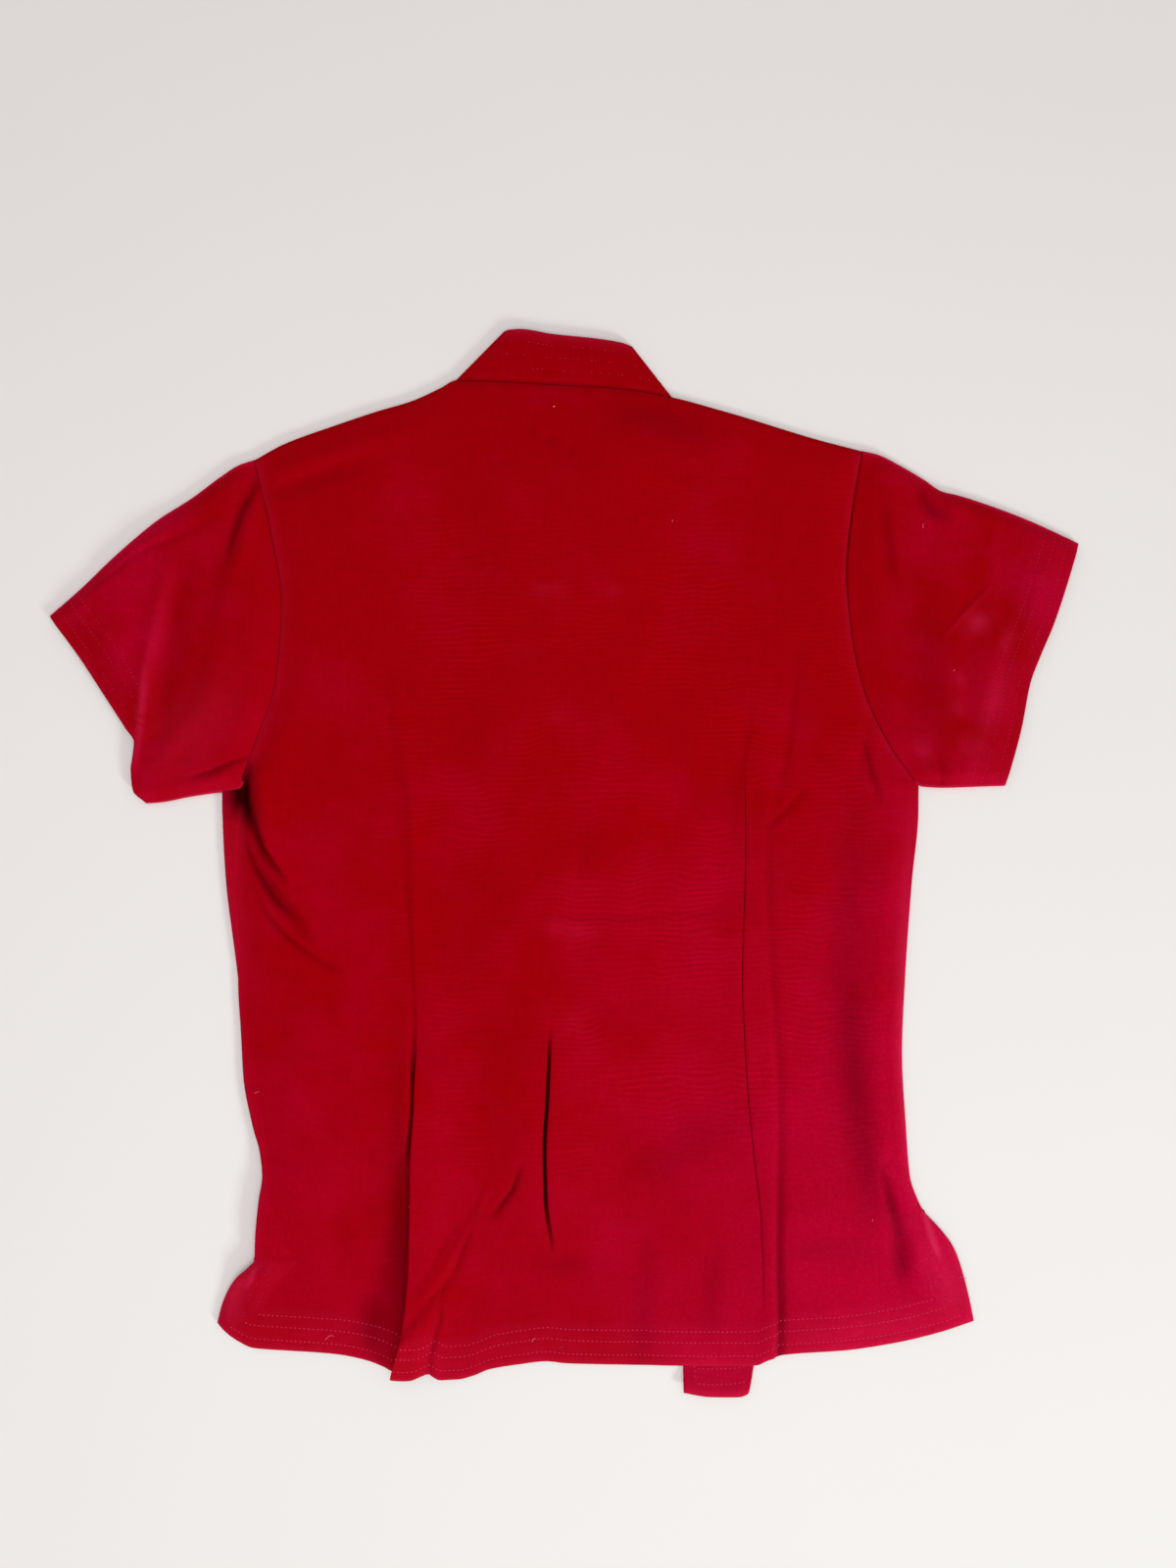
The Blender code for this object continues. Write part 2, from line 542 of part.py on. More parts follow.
def front_panel(name, side, armhole, vent_top, sign, hem, free_edge, neck_controls, side_y, hem_stations):
    """A front, from its turned side edge to its free edge, flat on the surface."""
    side_y = np.append(side_y[:-1], side_y[-1] - SHOULDER_INSET)
    edge = body_edge(side_y, side, armhole, vent_top, sign, False)
    rolled = (side_y > vent_top + ROW_TOLERANCE) & (side_y < armhole[0][0] - ROW_TOLERANCE)
    inner = edge - sign * FOLD_RADIUS
    side_points = np.stack([inner, side_y], axis=-1)
    side_points[0, 1] = line(hem, inner[0])

    neck = bezier(neck_controls, spaced(NECK_STATIONS))
    outward = np.gradient(neck, axis=0)
    outward = np.stack([-outward[:, 1], outward[:, 0]], axis=-1) * sign
    neck += SEAM_GAP * outward / np.linalg.norm(outward, axis=1)[:, None]
    neck[0] += (sign * SEAM_GAP, -SHOULDER_INSET)
    stand_x = free_edge[-1][1]
    neck_end = np.array([[stand_x, FRONT_NECK_Y - SEAM_GAP]])
    neck = np.concatenate([neck, neck_end])
    shoulder_x = np.linspace(side_points[-1, 0], neck[0, 0], len(hem_stations) - len(neck) + 1)
    shoulder = np.stack([shoulder_x, line(BACK_TOP, shoulder_x) - SHOULDER_INSET], axis=-1)
    shoulder[0] = side_points[-1]
    shoulder[-1] = neck[0]
    top = np.concatenate([shoulder[:-1], neck])
    low_x = np.array(hem_stations, dtype=float)
    low = np.stack([low_x, line(hem, low_x)], axis=-1)
    low[0] = side_points[0]

    shares = (side_y - side_y[0]) / (side_y[-1] - side_y[0])
    free_y = low[-1, 1] + (top[-1, 1] - low[-1, 1]) * shares
    free = np.stack([line(free_edge, free_y), free_y], axis=-1)
    free[0] = low[-1]
    free[-1] = top[-1]
    plan = patch(low, top, side_points, free, spaced(len(low)), shares)
    x = plan[..., 0]
    y = plan[..., 1]
    z = button_lift(x, y)
    if sign < 0:
        under = x - line(RIGHT_FREE_EDGE, y)
        z = z + LAYER * soft_step((under + STAND_STEP_START) / STAND_STEP)
    body = np.stack([x, y, z], axis=-1)
    turned = []
    for turned_x, turned_z in turned_edge(edge, line(side, side_y, 2), rolled, sign):
        turned_y = side_points[:, 1]
        turned.append(np.stack([turned_x, turned_y, turned_z], axis=-1))
    grid = np.concatenate([np.stack(turned, axis=1), body], axis=1)
    return cloth(name, grid, finish(name + "_cloth", CLOTH_RED, ROUGHNESS), upside_down=sign < 0)


def sleeve(name, top_rows, cuff_rows, underarm_rows, armhole, fold_rows, sign):
    """A sleeve: a flattened tube from the armhole seam to the open cuff, as rings of points."""
    along = spaced(SLEEVE_STATIONS)
    round_half = spaced(ARMHOLE_ROWS + 1)
    tip = armhole[-1][0]
    underarm = armhole[0][0]
    arm_y = tip + (underarm - tip) * round_half
    top = path(top_rows, along)
    low = path(underarm_rows, along)
    cuff = path(cuff_rows, round_half)

    def half(number):
        arm = np.stack([line(armhole, arm_y, number) + sign * SEAM_GAP, arm_y], axis=-1)
        arm[0] = top[0]
        arm[-1] = low[0]
        return patch(top, low, arm, cuff, along, round_half)

    upper = half(1).transpose(1, 0, 2)
    lower = half(2).transpose(1, 0, 2)

    def turn(edge_points, inner_points, angles):
        inward = inner_points - edge_points
        inward /= np.linalg.norm(inward, axis=1)[:, None]
        points = []
        for angle in angles:
            turned = math.radians(angle)
            plan = edge_points + inward * FOLD_RADIUS * (1 - math.cos(turned))
            height = np.full((len(plan), 1), FOLD_RADIUS * (1 + math.sin(turned)))
            points.append(np.concatenate([plan, height], axis=1))
        return np.stack(points, axis=1)

    def layer(plan, raised):
        inner = plan[:, 1:-1]
        x, y = inner[..., 0], inner[..., 1]
        z = np.zeros_like(x)
        if raised:
            edge = np.minimum(np.arange(1, plan.shape[1] - 1), np.arange(plan.shape[1] - 2, 0, -1))
            depth = soft_step(edge[None, :] / SLEEVE_EDGE_COLUMNS)
            ends = soft_step(np.minimum(along, 1.0 - along)[:, None] / SLEEVE_END_FADE)
            from_seam = soft_step(along[:, None] / SLEEVE_SEAM_FADE)
            relief = SLEEVE_LOFT * ends + folds(x, y, fold_rows) * from_seam
            z = 2 * FOLD_RADIUS + np.maximum(relief, 0.0) * depth
        return np.stack([x, y, z], axis=-1)

    rings = np.concatenate([
        turn(upper[:, 0], upper[:, 1], TURN_ANGLES[::-1]),
        layer(upper, True),
        turn(upper[:, -1], upper[:, -2], TURN_ANGLES),
        layer(lower, False)[:, ::-1],
    ], axis=1)
    return cloth(name, rings, finish(name + "_cloth", CLOTH_RED, ROUGHNESS), ring=True, upside_down=sign < 0)


def collar_stretch(seam, edge, height, shares):
    """Rows of points between the collar's seam and its upper edge."""
    rise = np.asarray(shares)[:, None, None]
    plan = seam[None] * (1 - rise) + edge[None] * rise
    return np.concatenate([plan, np.broadcast_to(height, plan.shape[:2])[..., None]], axis=-1)


def collar():
    """The stand collar: a band that runs from one front end round the back to the other, laid flat."""
    rise = spaced(COLLAR_ROWS)
    shares = spaced(COLLAR_STATIONS)
    seam_x = NECK_LEFT_X + (NECK_RIGHT_X - NECK_LEFT_X) * shares
    seam = np.stack([seam_x, line(BACK_TOP, seam_x) + NECK_SEAM_GAP], axis=-1)
    edge = path(COLLAR_TOP, shares)
    loft = COLLAR_LOFT * soft_step(np.minimum(shares, 1 - shares) / COLLAR_END_FADE)
    loft = loft[None] * np.sin(np.pi * rise)[:, None]
    back = collar_stretch(seam, edge, 2 * FOLD_RADIUS + loft, rise)

    def front_half(seam_controls, edge_controls, sign):
        seam = bezier(seam_controls, spaced(NECK_STATIONS))
        edge = bezier(edge_controls, spaced(NECK_STATIONS))
        half = collar_stretch(seam, edge, 0.0, rise)
        corner = np.clip((rise - COLLAR_CORNER) / (1.0 - COLLAR_CORNER), 0.0, 1.0)
        pulled = COLLAR_END_X + COLLAR_END_ROUNDING * (1 - np.sqrt(1 - corner ** 2))
        half[:, -1, 0] = sign * pulled
        half[..., 2] = button_lift(half[..., 0], half[..., 1])
        return half

    def turn(fold, above, below, angles):
        along_fold = fold[-1, :2] - fold[0, :2]
        normal = np.array([along_fold[1], -along_fold[0]]) / np.hypot(*along_fold)
        points = []
        for angle in angles:
            inward = (above if angle > 0.0 else below)[..., :2] - fold[..., :2]
            inward = inward / np.abs(inward @ normal)[:, None]
            turned = math.radians(angle)
            plan = fold[:, :2] + inward * FOLD_RADIUS * (1 - math.cos(turned))
            height = np.full((len(plan), 1), FOLD_RADIUS * (1 + math.sin(turned)))
            points.append(np.concatenate([plan, height], axis=1))
        return np.stack(points, axis=1)

    left = front_half(COLLAR_LEFT_SEAM, COLLAR_LEFT_EDGE, -1)
    right = front_half(COLLAR_RIGHT_SEAM, COLLAR_RIGHT_EDGE, 1)
    band = np.concatenate([
        left[:, :0:-1],
        turn(back[:, 0], back[:, 1], left[:, 1], TURN_ANGLES[::-1]),
        back[:, 1:-1],
        turn(back[:, -1], back[:, -2], right[:, 1], TURN_ANGLES),
        right[:, 1:],
    ], axis=1)
    return cloth("collar", band, finish("collar_cloth", CLOTH_RED, ROUGHNESS))


def buttons():
    """Small flat buttons under the right front, face down on the surface."""
    plastic = finish("button_plastic", BUTTON_RED, 0.35)
    for number in range(BUTTON_COUNT):
        centre_y = FIRST_BUTTON_Y - BUTTON_SPACING * number
        bpy.ops.mesh.primitive_cylinder_add(
            vertices=BUTTON_SIDES, radius=BUTTON_RADIUS * METRES, depth=BUTTON_THICKNESS * METRES,
            location=(0.0, centre_y * METRES, BUTTON_THICKNESS / 2 * METRES))
        body = bpy.context.object
        body.name = "button_" + str(number + 1)
        body.data.materials.append(plastic)
        rim = body.modifiers.new("Rim", "BEVEL")
        rim.width = BUTTON_EDGE * METRES
        rim.segments = 1
        rim.limit_method = "ANGLE"
        for other in list(body.users_collection):
            other.objects.unlink(body)
        garment.objects.link(body)


for leftover in list(bpy.data.objects):
    bpy.data.objects.remove(leftover, do_unlink=True)
garment = bpy.data.collections.new("stand_collar_blouse")
bpy.context.scene.collection.children.link(garment)

left_rows, right_rows = side_heights()
back_panel()
front_panel("front_left", LEFT_SIDE, LEFT_ARMHOLE, LEFT_VENT_TOP, -1, LEFT_FRONT_HEM, LEFT_FREE_EDGE,
            COLLAR_LEFT_SEAM, left_rows, LEFT_FRONT_HEM_STATIONS)
front_panel("front_right", RIGHT_SIDE, RIGHT_ARMHOLE, RIGHT_VENT_TOP, 1, RIGHT_FRONT_HEM, RIGHT_FREE_EDGE,
            COLLAR_RIGHT_SEAM, right_rows, RIGHT_FRONT_HEM_STATIONS[::-1])
sleeve("sleeve_left", LEFT_SLEEVE_TOP, LEFT_SLEEVE_CUFF, LEFT_SLEEVE_UNDERARM, LEFT_ARMHOLE,
       LEFT_SLEEVE_FOLDS, -1)
sleeve("sleeve_right", RIGHT_SLEEVE_TOP, RIGHT_SLEEVE_CUFF, RIGHT_SLEEVE_UNDERARM, RIGHT_ARMHOLE,
       RIGHT_SLEEVE_FOLDS, 1)
collar()
buttons()
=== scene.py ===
"""A red short-sleeved blouse with a stand collar, laid face down with its back upwards.

Shapes are worked out in millimetres, in the CAD frame, and turned to metres where each mesh is made.
"""

import bpy
import numpy as np
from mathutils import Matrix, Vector


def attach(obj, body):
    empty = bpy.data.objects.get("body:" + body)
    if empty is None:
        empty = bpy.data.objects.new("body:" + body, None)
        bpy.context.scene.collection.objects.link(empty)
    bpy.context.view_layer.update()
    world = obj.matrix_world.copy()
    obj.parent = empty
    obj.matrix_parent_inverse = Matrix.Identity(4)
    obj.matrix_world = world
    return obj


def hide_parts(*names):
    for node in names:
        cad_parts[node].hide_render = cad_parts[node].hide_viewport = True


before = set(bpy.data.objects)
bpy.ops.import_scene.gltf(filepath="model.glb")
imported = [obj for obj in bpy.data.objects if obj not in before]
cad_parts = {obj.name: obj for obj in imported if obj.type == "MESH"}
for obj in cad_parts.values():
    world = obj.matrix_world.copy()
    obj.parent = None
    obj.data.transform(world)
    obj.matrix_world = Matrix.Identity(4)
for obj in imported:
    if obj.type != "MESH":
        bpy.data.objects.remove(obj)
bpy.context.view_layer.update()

# The cloth: a light cotton crepe, woven from red dyed yarn, soft and dull, with fine wavy ribs across it.
# Every cut piece of the blouse is made of it, so its colour and its thin wall are set out here first.
METRES = 0.001
CLOTH_WALL = 0.8
DEEP_RED = "#a0000a"
CRIMSON = "#c5003b"
ROSE = "#d2224e"
# The red that painted shade darkens the cloth to
SHADE_RED = "#260002"
THREAD_PITCH = 2.2
STREAKS_IN_A_METRE = 90.0
RIB_PITCH = 4.2
BUMP_HEIGHT = 0.0004


def linear(hex_colour):
    """An sRGB hex colour as linear light."""
    share = np.array([int(hex_colour[place:place + 2], 16) for place in (1, 3, 5)]) / 255.0
    light = np.where(share <= 0.04045, share / 12.92, ((share + 0.055) / 1.055) ** 2.4)
    return (*light.tolist(), 1.0)


def add(material, kind, sockets=None, **settings):
    """Add a node, set its own settings, and give its sockets values or other nodes' outputs."""
    tree = material.node_tree
    made = tree.nodes.new("ShaderNode" + kind)
    for name, value in settings.items():
        setattr(made, name, value)
    for socket, value in (sockets or {}).items():
        if isinstance(value, bpy.types.NodeSocket):
            tree.links.new(value, made.inputs[socket])
        else:
            made.inputs[socket].default_value = value
    return made


def new_material(name, **sockets):
    """A Principled material with uniform values on the shader's own sockets, and its shader."""
    material = bpy.data.materials.new(name)
    material.use_nodes = True
    shader = material.node_tree.nodes["Principled BSDF"]
    for socket, value in sockets.items():
        shader.inputs[socket.replace("_", " ")].default_value = value
    return material, shader


def crepe():
    """Cotton crepe: dull yarn with a soft nap, dark red where flat, rosier where rubbed, with painted
    sheen, highlights and shade.

    The real yarns lie 0.35 mm apart, too fine to show, so warp and weft are drawn 2.2 mm apart.
    """
    cloth, shader = new_material(
        "cotton_crepe", Roughness=0.92, Specular_IOR_Level=0.08, Specular_Tint=linear("#ff2040"),
        Sheen_Weight=0.06, Sheen_Roughness=0.5, Sheen_Tint=linear("#ff1846"))
    place = add(cloth, "TexCoord").outputs["Object"]
    axes = add(cloth, "SeparateXYZ", {0: place}).outputs
    reach = add(cloth, "Math", {0: axes["X"]}, operation="ABSOLUTE").outputs[0]

    # A painted sheen: the ground turns rosier towards the hem and the right, and in the sleeves, in soft
    # clouds.
    low = add(cloth, "MapRange", {0: axes["Y"], 1: 0.12, 2: -0.36, 3: 0.0, 4: 1.0}).outputs[0]
    right = add(cloth, "MapRange", {0: axes["X"], 1: 0.0, 2: 0.30, 3: 0.17, 4: 0.84}).outputs[0]
    sheen_low_right = add(cloth, "Math", {0: low, 1: right}, operation="MULTIPLY").outputs[0]
    outer = add(cloth, "MapRange", {0: reach, 1: 0.19, 2: 0.34, 3: 0.0, 4: 0.24}).outputs[0]
    painted_sheen = add(cloth, "Math", {0: sheen_low_right, 1: outer}, operation="ADD").outputs[0]
    cloud = add(cloth, "TexNoise", {
        "Vector": place, "Scale": 14.0, "Detail": 4.0, "Roughness": 0.6}).outputs[0]
    cloudy = add(cloth, "MapRange", {0: cloud, 1: 0.3, 2: 0.7, 3: -0.15, 4: 0.12}).outputs[0]
    rubbed = add(cloth, "MapRange", {0: reach, 1: 0.22, 2: 0.30, 3: 1.0, 4: 2.2}).outputs[0]
    mottled = add(cloth, "Math", {0: cloudy, 1: rubbed}, operation="MULTIPLY").outputs[0]
    share = add(cloth, "Math", {0: painted_sheen, 1: mottled}, operation="ADD", use_clamp=True).outputs[0]
    ground = add(cloth, "Mix", {0: share, 6: linear(DEEP_RED), 7: linear(CRIMSON)}, data_type="RGBA")

    # Warp and weft are fine streaks, and patches of wavy ribs run across them.
    threads = []
    for scale in ((STREAKS_IN_A_METRE, 1000.0 / THREAD_PITCH, STREAKS_IN_A_METRE),
                  (1000.0 / THREAD_PITCH, STREAKS_IN_A_METRE, STREAKS_IN_A_METRE)):
        drawn_out = add(cloth, "Mapping", {0: place, 3: scale}).outputs[0]
        streaks = add(cloth, "TexNoise", {"Vector": drawn_out, "Scale": 1.0, "Detail": 2.0})
        threads.append(streaks.outputs[0])
    weave = add(cloth, "Math", dict(enumerate(threads)), operation="ADD").outputs[0]
    rib = add(cloth, "TexWave", {
        "Vector": place, "Scale": np.pi * 100.0 / RIB_PITCH, "Distortion": 11.0,
        "Detail": 1.0, "Detail Scale": 0.42}, bands_direction="Y").outputs[1]
    patches = add(cloth, "TexNoise", {"Vector": place, "Scale": 16.0, "Detail": 2.0}).outputs[0]
    patchy = add(cloth, "MapRange", {0: patches, 1: 0.38, 2: 0.62, 3: 0.05, 4: 1.0}).outputs[0]
    ribbed = add(cloth, "Attribute", attribute_name="ribbed").outputs["Fac"]
    where = add(cloth, "Math", {0: patchy, 1: ribbed}, operation="MULTIPLY").outputs[0]
    ribs = add(cloth, "Math", {0: rib, 1: where}, operation="MULTIPLY").outputs[0]
    grain = add(cloth, "MapRange", {0: weave, 1: 0.7, 2: 1.3, 3: 0.95, 4: 1.05}).outputs[0]
    shine = add(cloth, "MapRange", {0: ribs, 1: 0.0, 2: 1.0, 3: 0.98, 4: 1.08}).outputs[0]
    tone = add(cloth, "Math", {0: grain, 1: shine}, operation="MULTIPLY").outputs[0]

    # The nap, the worn places and the painted highlights are rose, and painted shade makes the floors of
    # folds and seams nearly black.
    pills = add(cloth, "TexNoise", {"Vector": place, "Scale": 420.0, "Detail": 1.0}).outputs[0]
    nap = add(cloth, "MapRange", {0: pills, 1: 0.50, 2: 0.74, 3: 0.0, 4: 0.24}).outputs[0]
    flecks = add(cloth, "Math", {0: nap, 1: share}, operation="MULTIPLY").outputs[0]
    # The marks of rubbing and of painted highlights along lit edges, sides and folds
    wear_and_highlight_marks = add(cloth, "Attribute", attribute_name="wear_and_highlight").outputs["Fac"]
    wear_and_highlight = add(cloth, "Math", {0: wear_and_highlight_marks, 1: flecks}, operation="ADD", use_clamp=True).outputs[0]
    # Painted shade: fold floors, seams and places under the arm darken towards the shade red
    deep = add(cloth, "Attribute", attribute_name="deep").outputs["Fac"]
    rosy = add(cloth, "Mix", {0: wear_and_highlight, 6: ground.outputs[2], 7: linear(ROSE)}, data_type="RGBA")
    sunk = add(cloth, "Mix", {0: deep, 6: rosy.outputs[2], 7: linear(SHADE_RED)}, data_type="RGBA")
    toned = add(cloth, "VectorMath", {0: sunk.outputs[2], 3: tone}, operation="SCALE").outputs[0]
    cloth.node_tree.links.new(toned, shader.inputs["Base Color"])

    fine = add(cloth, "Bump", {"Height": weave, "Strength": 0.35, "Distance": BUMP_HEIGHT}).outputs[0]
    both = add(cloth, "Bump", {"Height": ribs, "Strength": 0.5, "Distance": BUMP_HEIGHT, "Normal": fine})
    cloth.node_tree.links.new(both.outputs[0], shader.inputs["Normal"])
    return cloth


def put(name, data):
    """A new object in the scene, at the origin, that shows a mesh, a light or a camera."""
    made = bpy.data.objects.new(name, data)
    bpy.context.scene.collection.objects.link(made)
    return made


def mesh_piece(name, points, faces, material, marks=None):
    """A mesh in the CAD frame from points in millimetres and arrays of faces, with each point's marks."""
    mesh = bpy.data.meshes.new(name)
    mesh.from_pydata((points * METRES).tolist(), [], [face for kind in faces for face in kind.tolist()])
    for name_of_mark, values in (marks or {}).items():
        layer = mesh.attributes.new(name_of_mark, "FLOAT", "POINT")
        layer.data.foreach_set("value", np.asarray(values, dtype=np.float32).ravel())
    mesh.materials.append(material)
    mesh.shade_smooth()
    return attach(put(name, mesh), "root")


def cloth_piece(name, node, grid, marks, ring=False, upside_down=False):
    """A thin wall of cloth inside the outer surface through a grid of points in rows and columns."""
    rows, columns = grid.shape[:2]
    number = np.arange(rows * columns).reshape(rows, columns)
    if ring:
        number = np.concatenate([number, number[:, :1]], axis=1)
    corners = (number[:-1, :-1], number[:-1, 1:], number[1:, 1:], number[1:, :-1])
    if upside_down:
        corners = corners[::-1]
    faces = [np.stack([corner.ravel() for corner in corners], axis=-1)]
    marks = {word: np.broadcast_to(values, (rows, columns)) for word, values in marks.items()}
    piece = mesh_piece(name, grid.reshape(-1, 3), faces, cotton, marks)
    wall = piece.modifiers.new("Wall", "SOLIDIFY")
    wall.thickness = CLOTH_WALL * METRES
    wall.offset = -1.0
    wall.use_quality_normals = True
    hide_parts(node)
    return piece


cotton = crepe()

# The back: one panel from the hem to the shoulders and the neck, shaped by two long darts. It has slid
# into a lap fold along the left dart, a pleat beside the right dart, and a slit where it has pulled open.
LAYER = 1.8
CAD_WALL = 1.2
LOWEST_BACK = 1.75
BODY_LOFT = 2.0
LOFT_MARGIN = 22.0
NECK_HALF = 77.0
FRONT_NECK_Y = 268.0
SHOULDER_ROLL = 3.0
SHOULDER_RAMP = 30.0
# The turned and stitched edges: rows of stitching and of points from the edge, the form of the band, its
# paleness, and a painted highlight at the very edge
HEM_ROWS = (8.0, 18.0, 26.0)
HEM_STEPS = (0.0, 1.2, 3.5, 6.6, 8.0, 9.4, 13.0, 16.6, 18.0, 19.4, 22.0, 24.6, 26.0, 27.4, 29.5, 33.0)
BAND_DEPTH = 29.0
BAND_RISE = 0.35
BAND_FALL = 2.0
BAND_WEAR = 0.06
BAND_WEAR_FADE = 5.0
EDGE_HIGHLIGHT = 0.18
EDGE_HIGHLIGHT_FADE = 2.5
STITCH_DIP = 0.16
STITCH_DIP_WIDTH = 1.1
HEM_DROOP = 1.5
HEM_DROOP_WIDTH = 2.2
NOWHERE_NEAR = 99.0
VENT_REACH = 50.0
VENT_INSET = 3.0
# The seams: how deep and wide they sink, how the side seams curl and carry a painted highlight, and the
# painted shade at the armholes and the neck
SEAM_GAP = -0.1
SEAM_DIP = 0.55
SEAM_DIP_WIDTH = 1.6
SIDE_SEAM_DIP = 0.25
SIDE_CURL = 1.2
SIDE_CURL_WIDTH = 1.8
SIDE_HIGHLIGHT = 0.16
SIDE_HIGHLIGHT_FADE = 3.0
LEAST_COVERING_WRAP = 2.4
COVERING_RAMP = 2.6
NECK_SHADE = 0.5
NECK_SHADE_WIDTH = 0.9
ARMHOLE_SHADE_WIDTH = 0.8
# What lifts the back: the buttons, the fronts where they overlap, and the puffed fold of the left side
STAND_HALF = 15.6
BUTTONS_LIFT = 2.3
BUTTONS_HALF = STAND_HALF * 1.6
BUTTONS_LOW = -128.0
OVERLAP_HALF = STAND_HALF * 2.5
OVERLAP_LOW = -190.0
LIFT_PAST_NECK = 6.0
LIFT_RAMP = 60.0
SIDE_LIFT_WIDTH = 24.0
# y, lift of the left side's fold
LEFT_SIDE_LIFT = (
    (-345, 0), (-316, 0), (-304, 0.9), (-291, 3.2), (-262, 4), (-230, 3), (-200, 1.7), (-160, 0.6),
    (-120, 0), (62, 0),
)

# y, x, how far the front wraps over onto the back
LEFT_SIDE = (
    (-329, -248, 0), (-317, -245, 0), (-306, -240.5, 0), (-295, -233, 0), (-289, -226, 1),
    (-283, -221, 3), (-262, -219.6, 2.2), (-240, -217.5, 2.2), (-224, -215.2, 2.2), (-206, -217.3, 2.2),
    (-189, -222.2, 2.2), (-154, -229.2, 2.2), (-119, -231.3, 2.2), (-66, -235.5, 4.2),
    (-14, -241.8, 8.4), (21, -243.9, 12.2), (44, -244.6, 14.6), (62, -244.6, 14.6),
)
RIGHT_SIDE = (
    (-327, 293, 0), (-312, 290, 0), (-284, 282.4, 0), (-273, 277.5, 0), (-261, 268.4, 0),
    (-250, 258, 3), (-241, 253, 2.2), (-224, 247.4, 2.2), (-189, 244.6, 2.2), (-136, 241.8, 2.2),
    (-84, 243.9, 2.2), (-14, 248.8, 2.2), (36, 253.5, 2.4), (58, 253.7, 2.4),
)
# y, x on the back, x on the front
LEFT_ARMHOLE = (
    (62, -230, -230), (89, -220, -214), (131, -206.3, -198), (187, -202, -196), (237, -209.7, -206),
    (288.2, -221.6, -221.6),
)
RIGHT_ARMHOLE = (
    (58, 251.3, 251.3), (83, 233.5, 227.5), (121, 215.2, 207), (160, 206.2, 198.5), (205, 202, 196.5),
    (253, 206.2, 202.5), (294.6, 213.2, 213.2),
)
# What differs between the two halves of the body, which are the wearer's left and right
LEFT = {"sign": -1, "side": LEFT_SIDE, "armhole": LEFT_ARMHOLE, "underarm": LEFT_ARMHOLE[0][0],
        "vent_top": -283.0, "seam_shade": 0.26}
RIGHT = {"sign": 1, "side": RIGHT_SIDE, "armhole": RIGHT_ARMHOLE, "underarm": RIGHT_ARMHOLE[0][0],
         "vent_top": -250.0, "seam_shade": 0.44}
# x, y
BACK_HEM = (
    (-248, -329), (-244, -334), (-233, -342.2), (-222, -347), (-200, -348.8), (-166, -351.6),
    (-144, -356), (-130, -361), (-123, -364.8), (-110, -367.9), (-98, -364.4), (-88, -369.2),
    (-76, -369.2), (-65, -366.8), (-54, -362.4), (-32, -358.8), (-12, -356.6), (2, -358), (80, -359.6),
    (136, -360), (147, -354.8), (158, -352), (203, -348.7), (237, -343.3), (270, -335.2), (293, -327.8),
)
BACK_TOP = (
    (-221.6, 288.2), (-200, 299.9), (-166, 312.3), (-133, 323.4), (-110, 330.2), (-88, 339.6),
    (-77, 345), (-42, 344), (-8, 342), (32, 339.8), (54, 337.3), (77, 332.7), (91, 329.5), (125, 320.2),
    (158, 309.9), (181, 303), (213.2, 294.6),
)
# y, x of the lines that the mesh follows
LEFT_DART = (
    (-367, -124), (-359, -122), (-331, -114.5), (-286, -110.3), (-209, -109.5), (-169, -106.8),
    (-112, -107.5), (-65, -109.5), (-28, -113), (43, -114.5), (84, -119), (161, -120.7), (326, -118),
)
CENTRE_SLIT = (
    (-356, -11), (-276, -9), (-240, -13), (-203, -13.7), (-164, -11.6), (-122, -10.2), (342, -8),
)
RIGHT_DART = (
    (-356, 142), (-308, 141.8), (-257, 140.4), (-211, 135.5), (-168, 131.3), (-123, 128.5), (-84, 127),
    (14, 129.4), (42, 129.2), (68, 128.6), (95, 133), (130, 140), (170, 143), (313, 143),
)
RIGHT_PLEAT = (
    (-350, 153), (-320, 153), (-285, 152.2), (-194, 153), (-149, 152.4), (-119, 150.4), (-70, 147),
    (-10, 144.8), (22, 145.2), (60, 151.5), (100, 155), (143, 156), (305, 156),
)
# Sections across the lines: distance from the line, shift sideways, level from the floor (0) to the lip (1)
LAP_SECTION = (
    (-9, 0, 1), (-4, 0.2, 1), (-2.2, 0.5, 0.7), (-1, 1.5, 0.15), (0, 3, 0), (1, 2.3, 0.2), (2, 0, 0.55),
    (3, -2.4, 0.86), (4, -3.7, 0.99), (6, -4.2, 1.03), (10, -3, 1), (16, 0, 1),
)
SLIT_SECTION = (
    (-9, 0, 1), (-5, 0.4, 1), (-3, 0.9, 0.98), (-2, 0.6, 0.82), (-1.3, 0.1, 0.45), (-0.7, -0.3, 0.1),
    (0, 0, 0), (0.7, 0.3, 0.1), (1.3, -0.1, 0.45), (2, -0.6, 0.82), (3, -0.9, 0.98), (5, -0.4, 1),
    (9, 0, 1),
)
SEWN_SECTION = ((-2.4, 0, 1), (-0.8, 0.2, 0.9), (0, 0, 0), (0.8, -0.2, 0.9), (2.4, 0, 1))
PLEAT_SECTION = (
    (-12, 0, 1), (-7, 0, 1.03), (-4.5, 0.4, 1), (-3, 0.6, 0.82), (-1.5, 0.6, 0.45), (0, 0.2, 0.12),
    (1.5, 0, 0.08), (3.5, 0, 0.4), (6, 0, 0.8), (9, 0, 1),
)
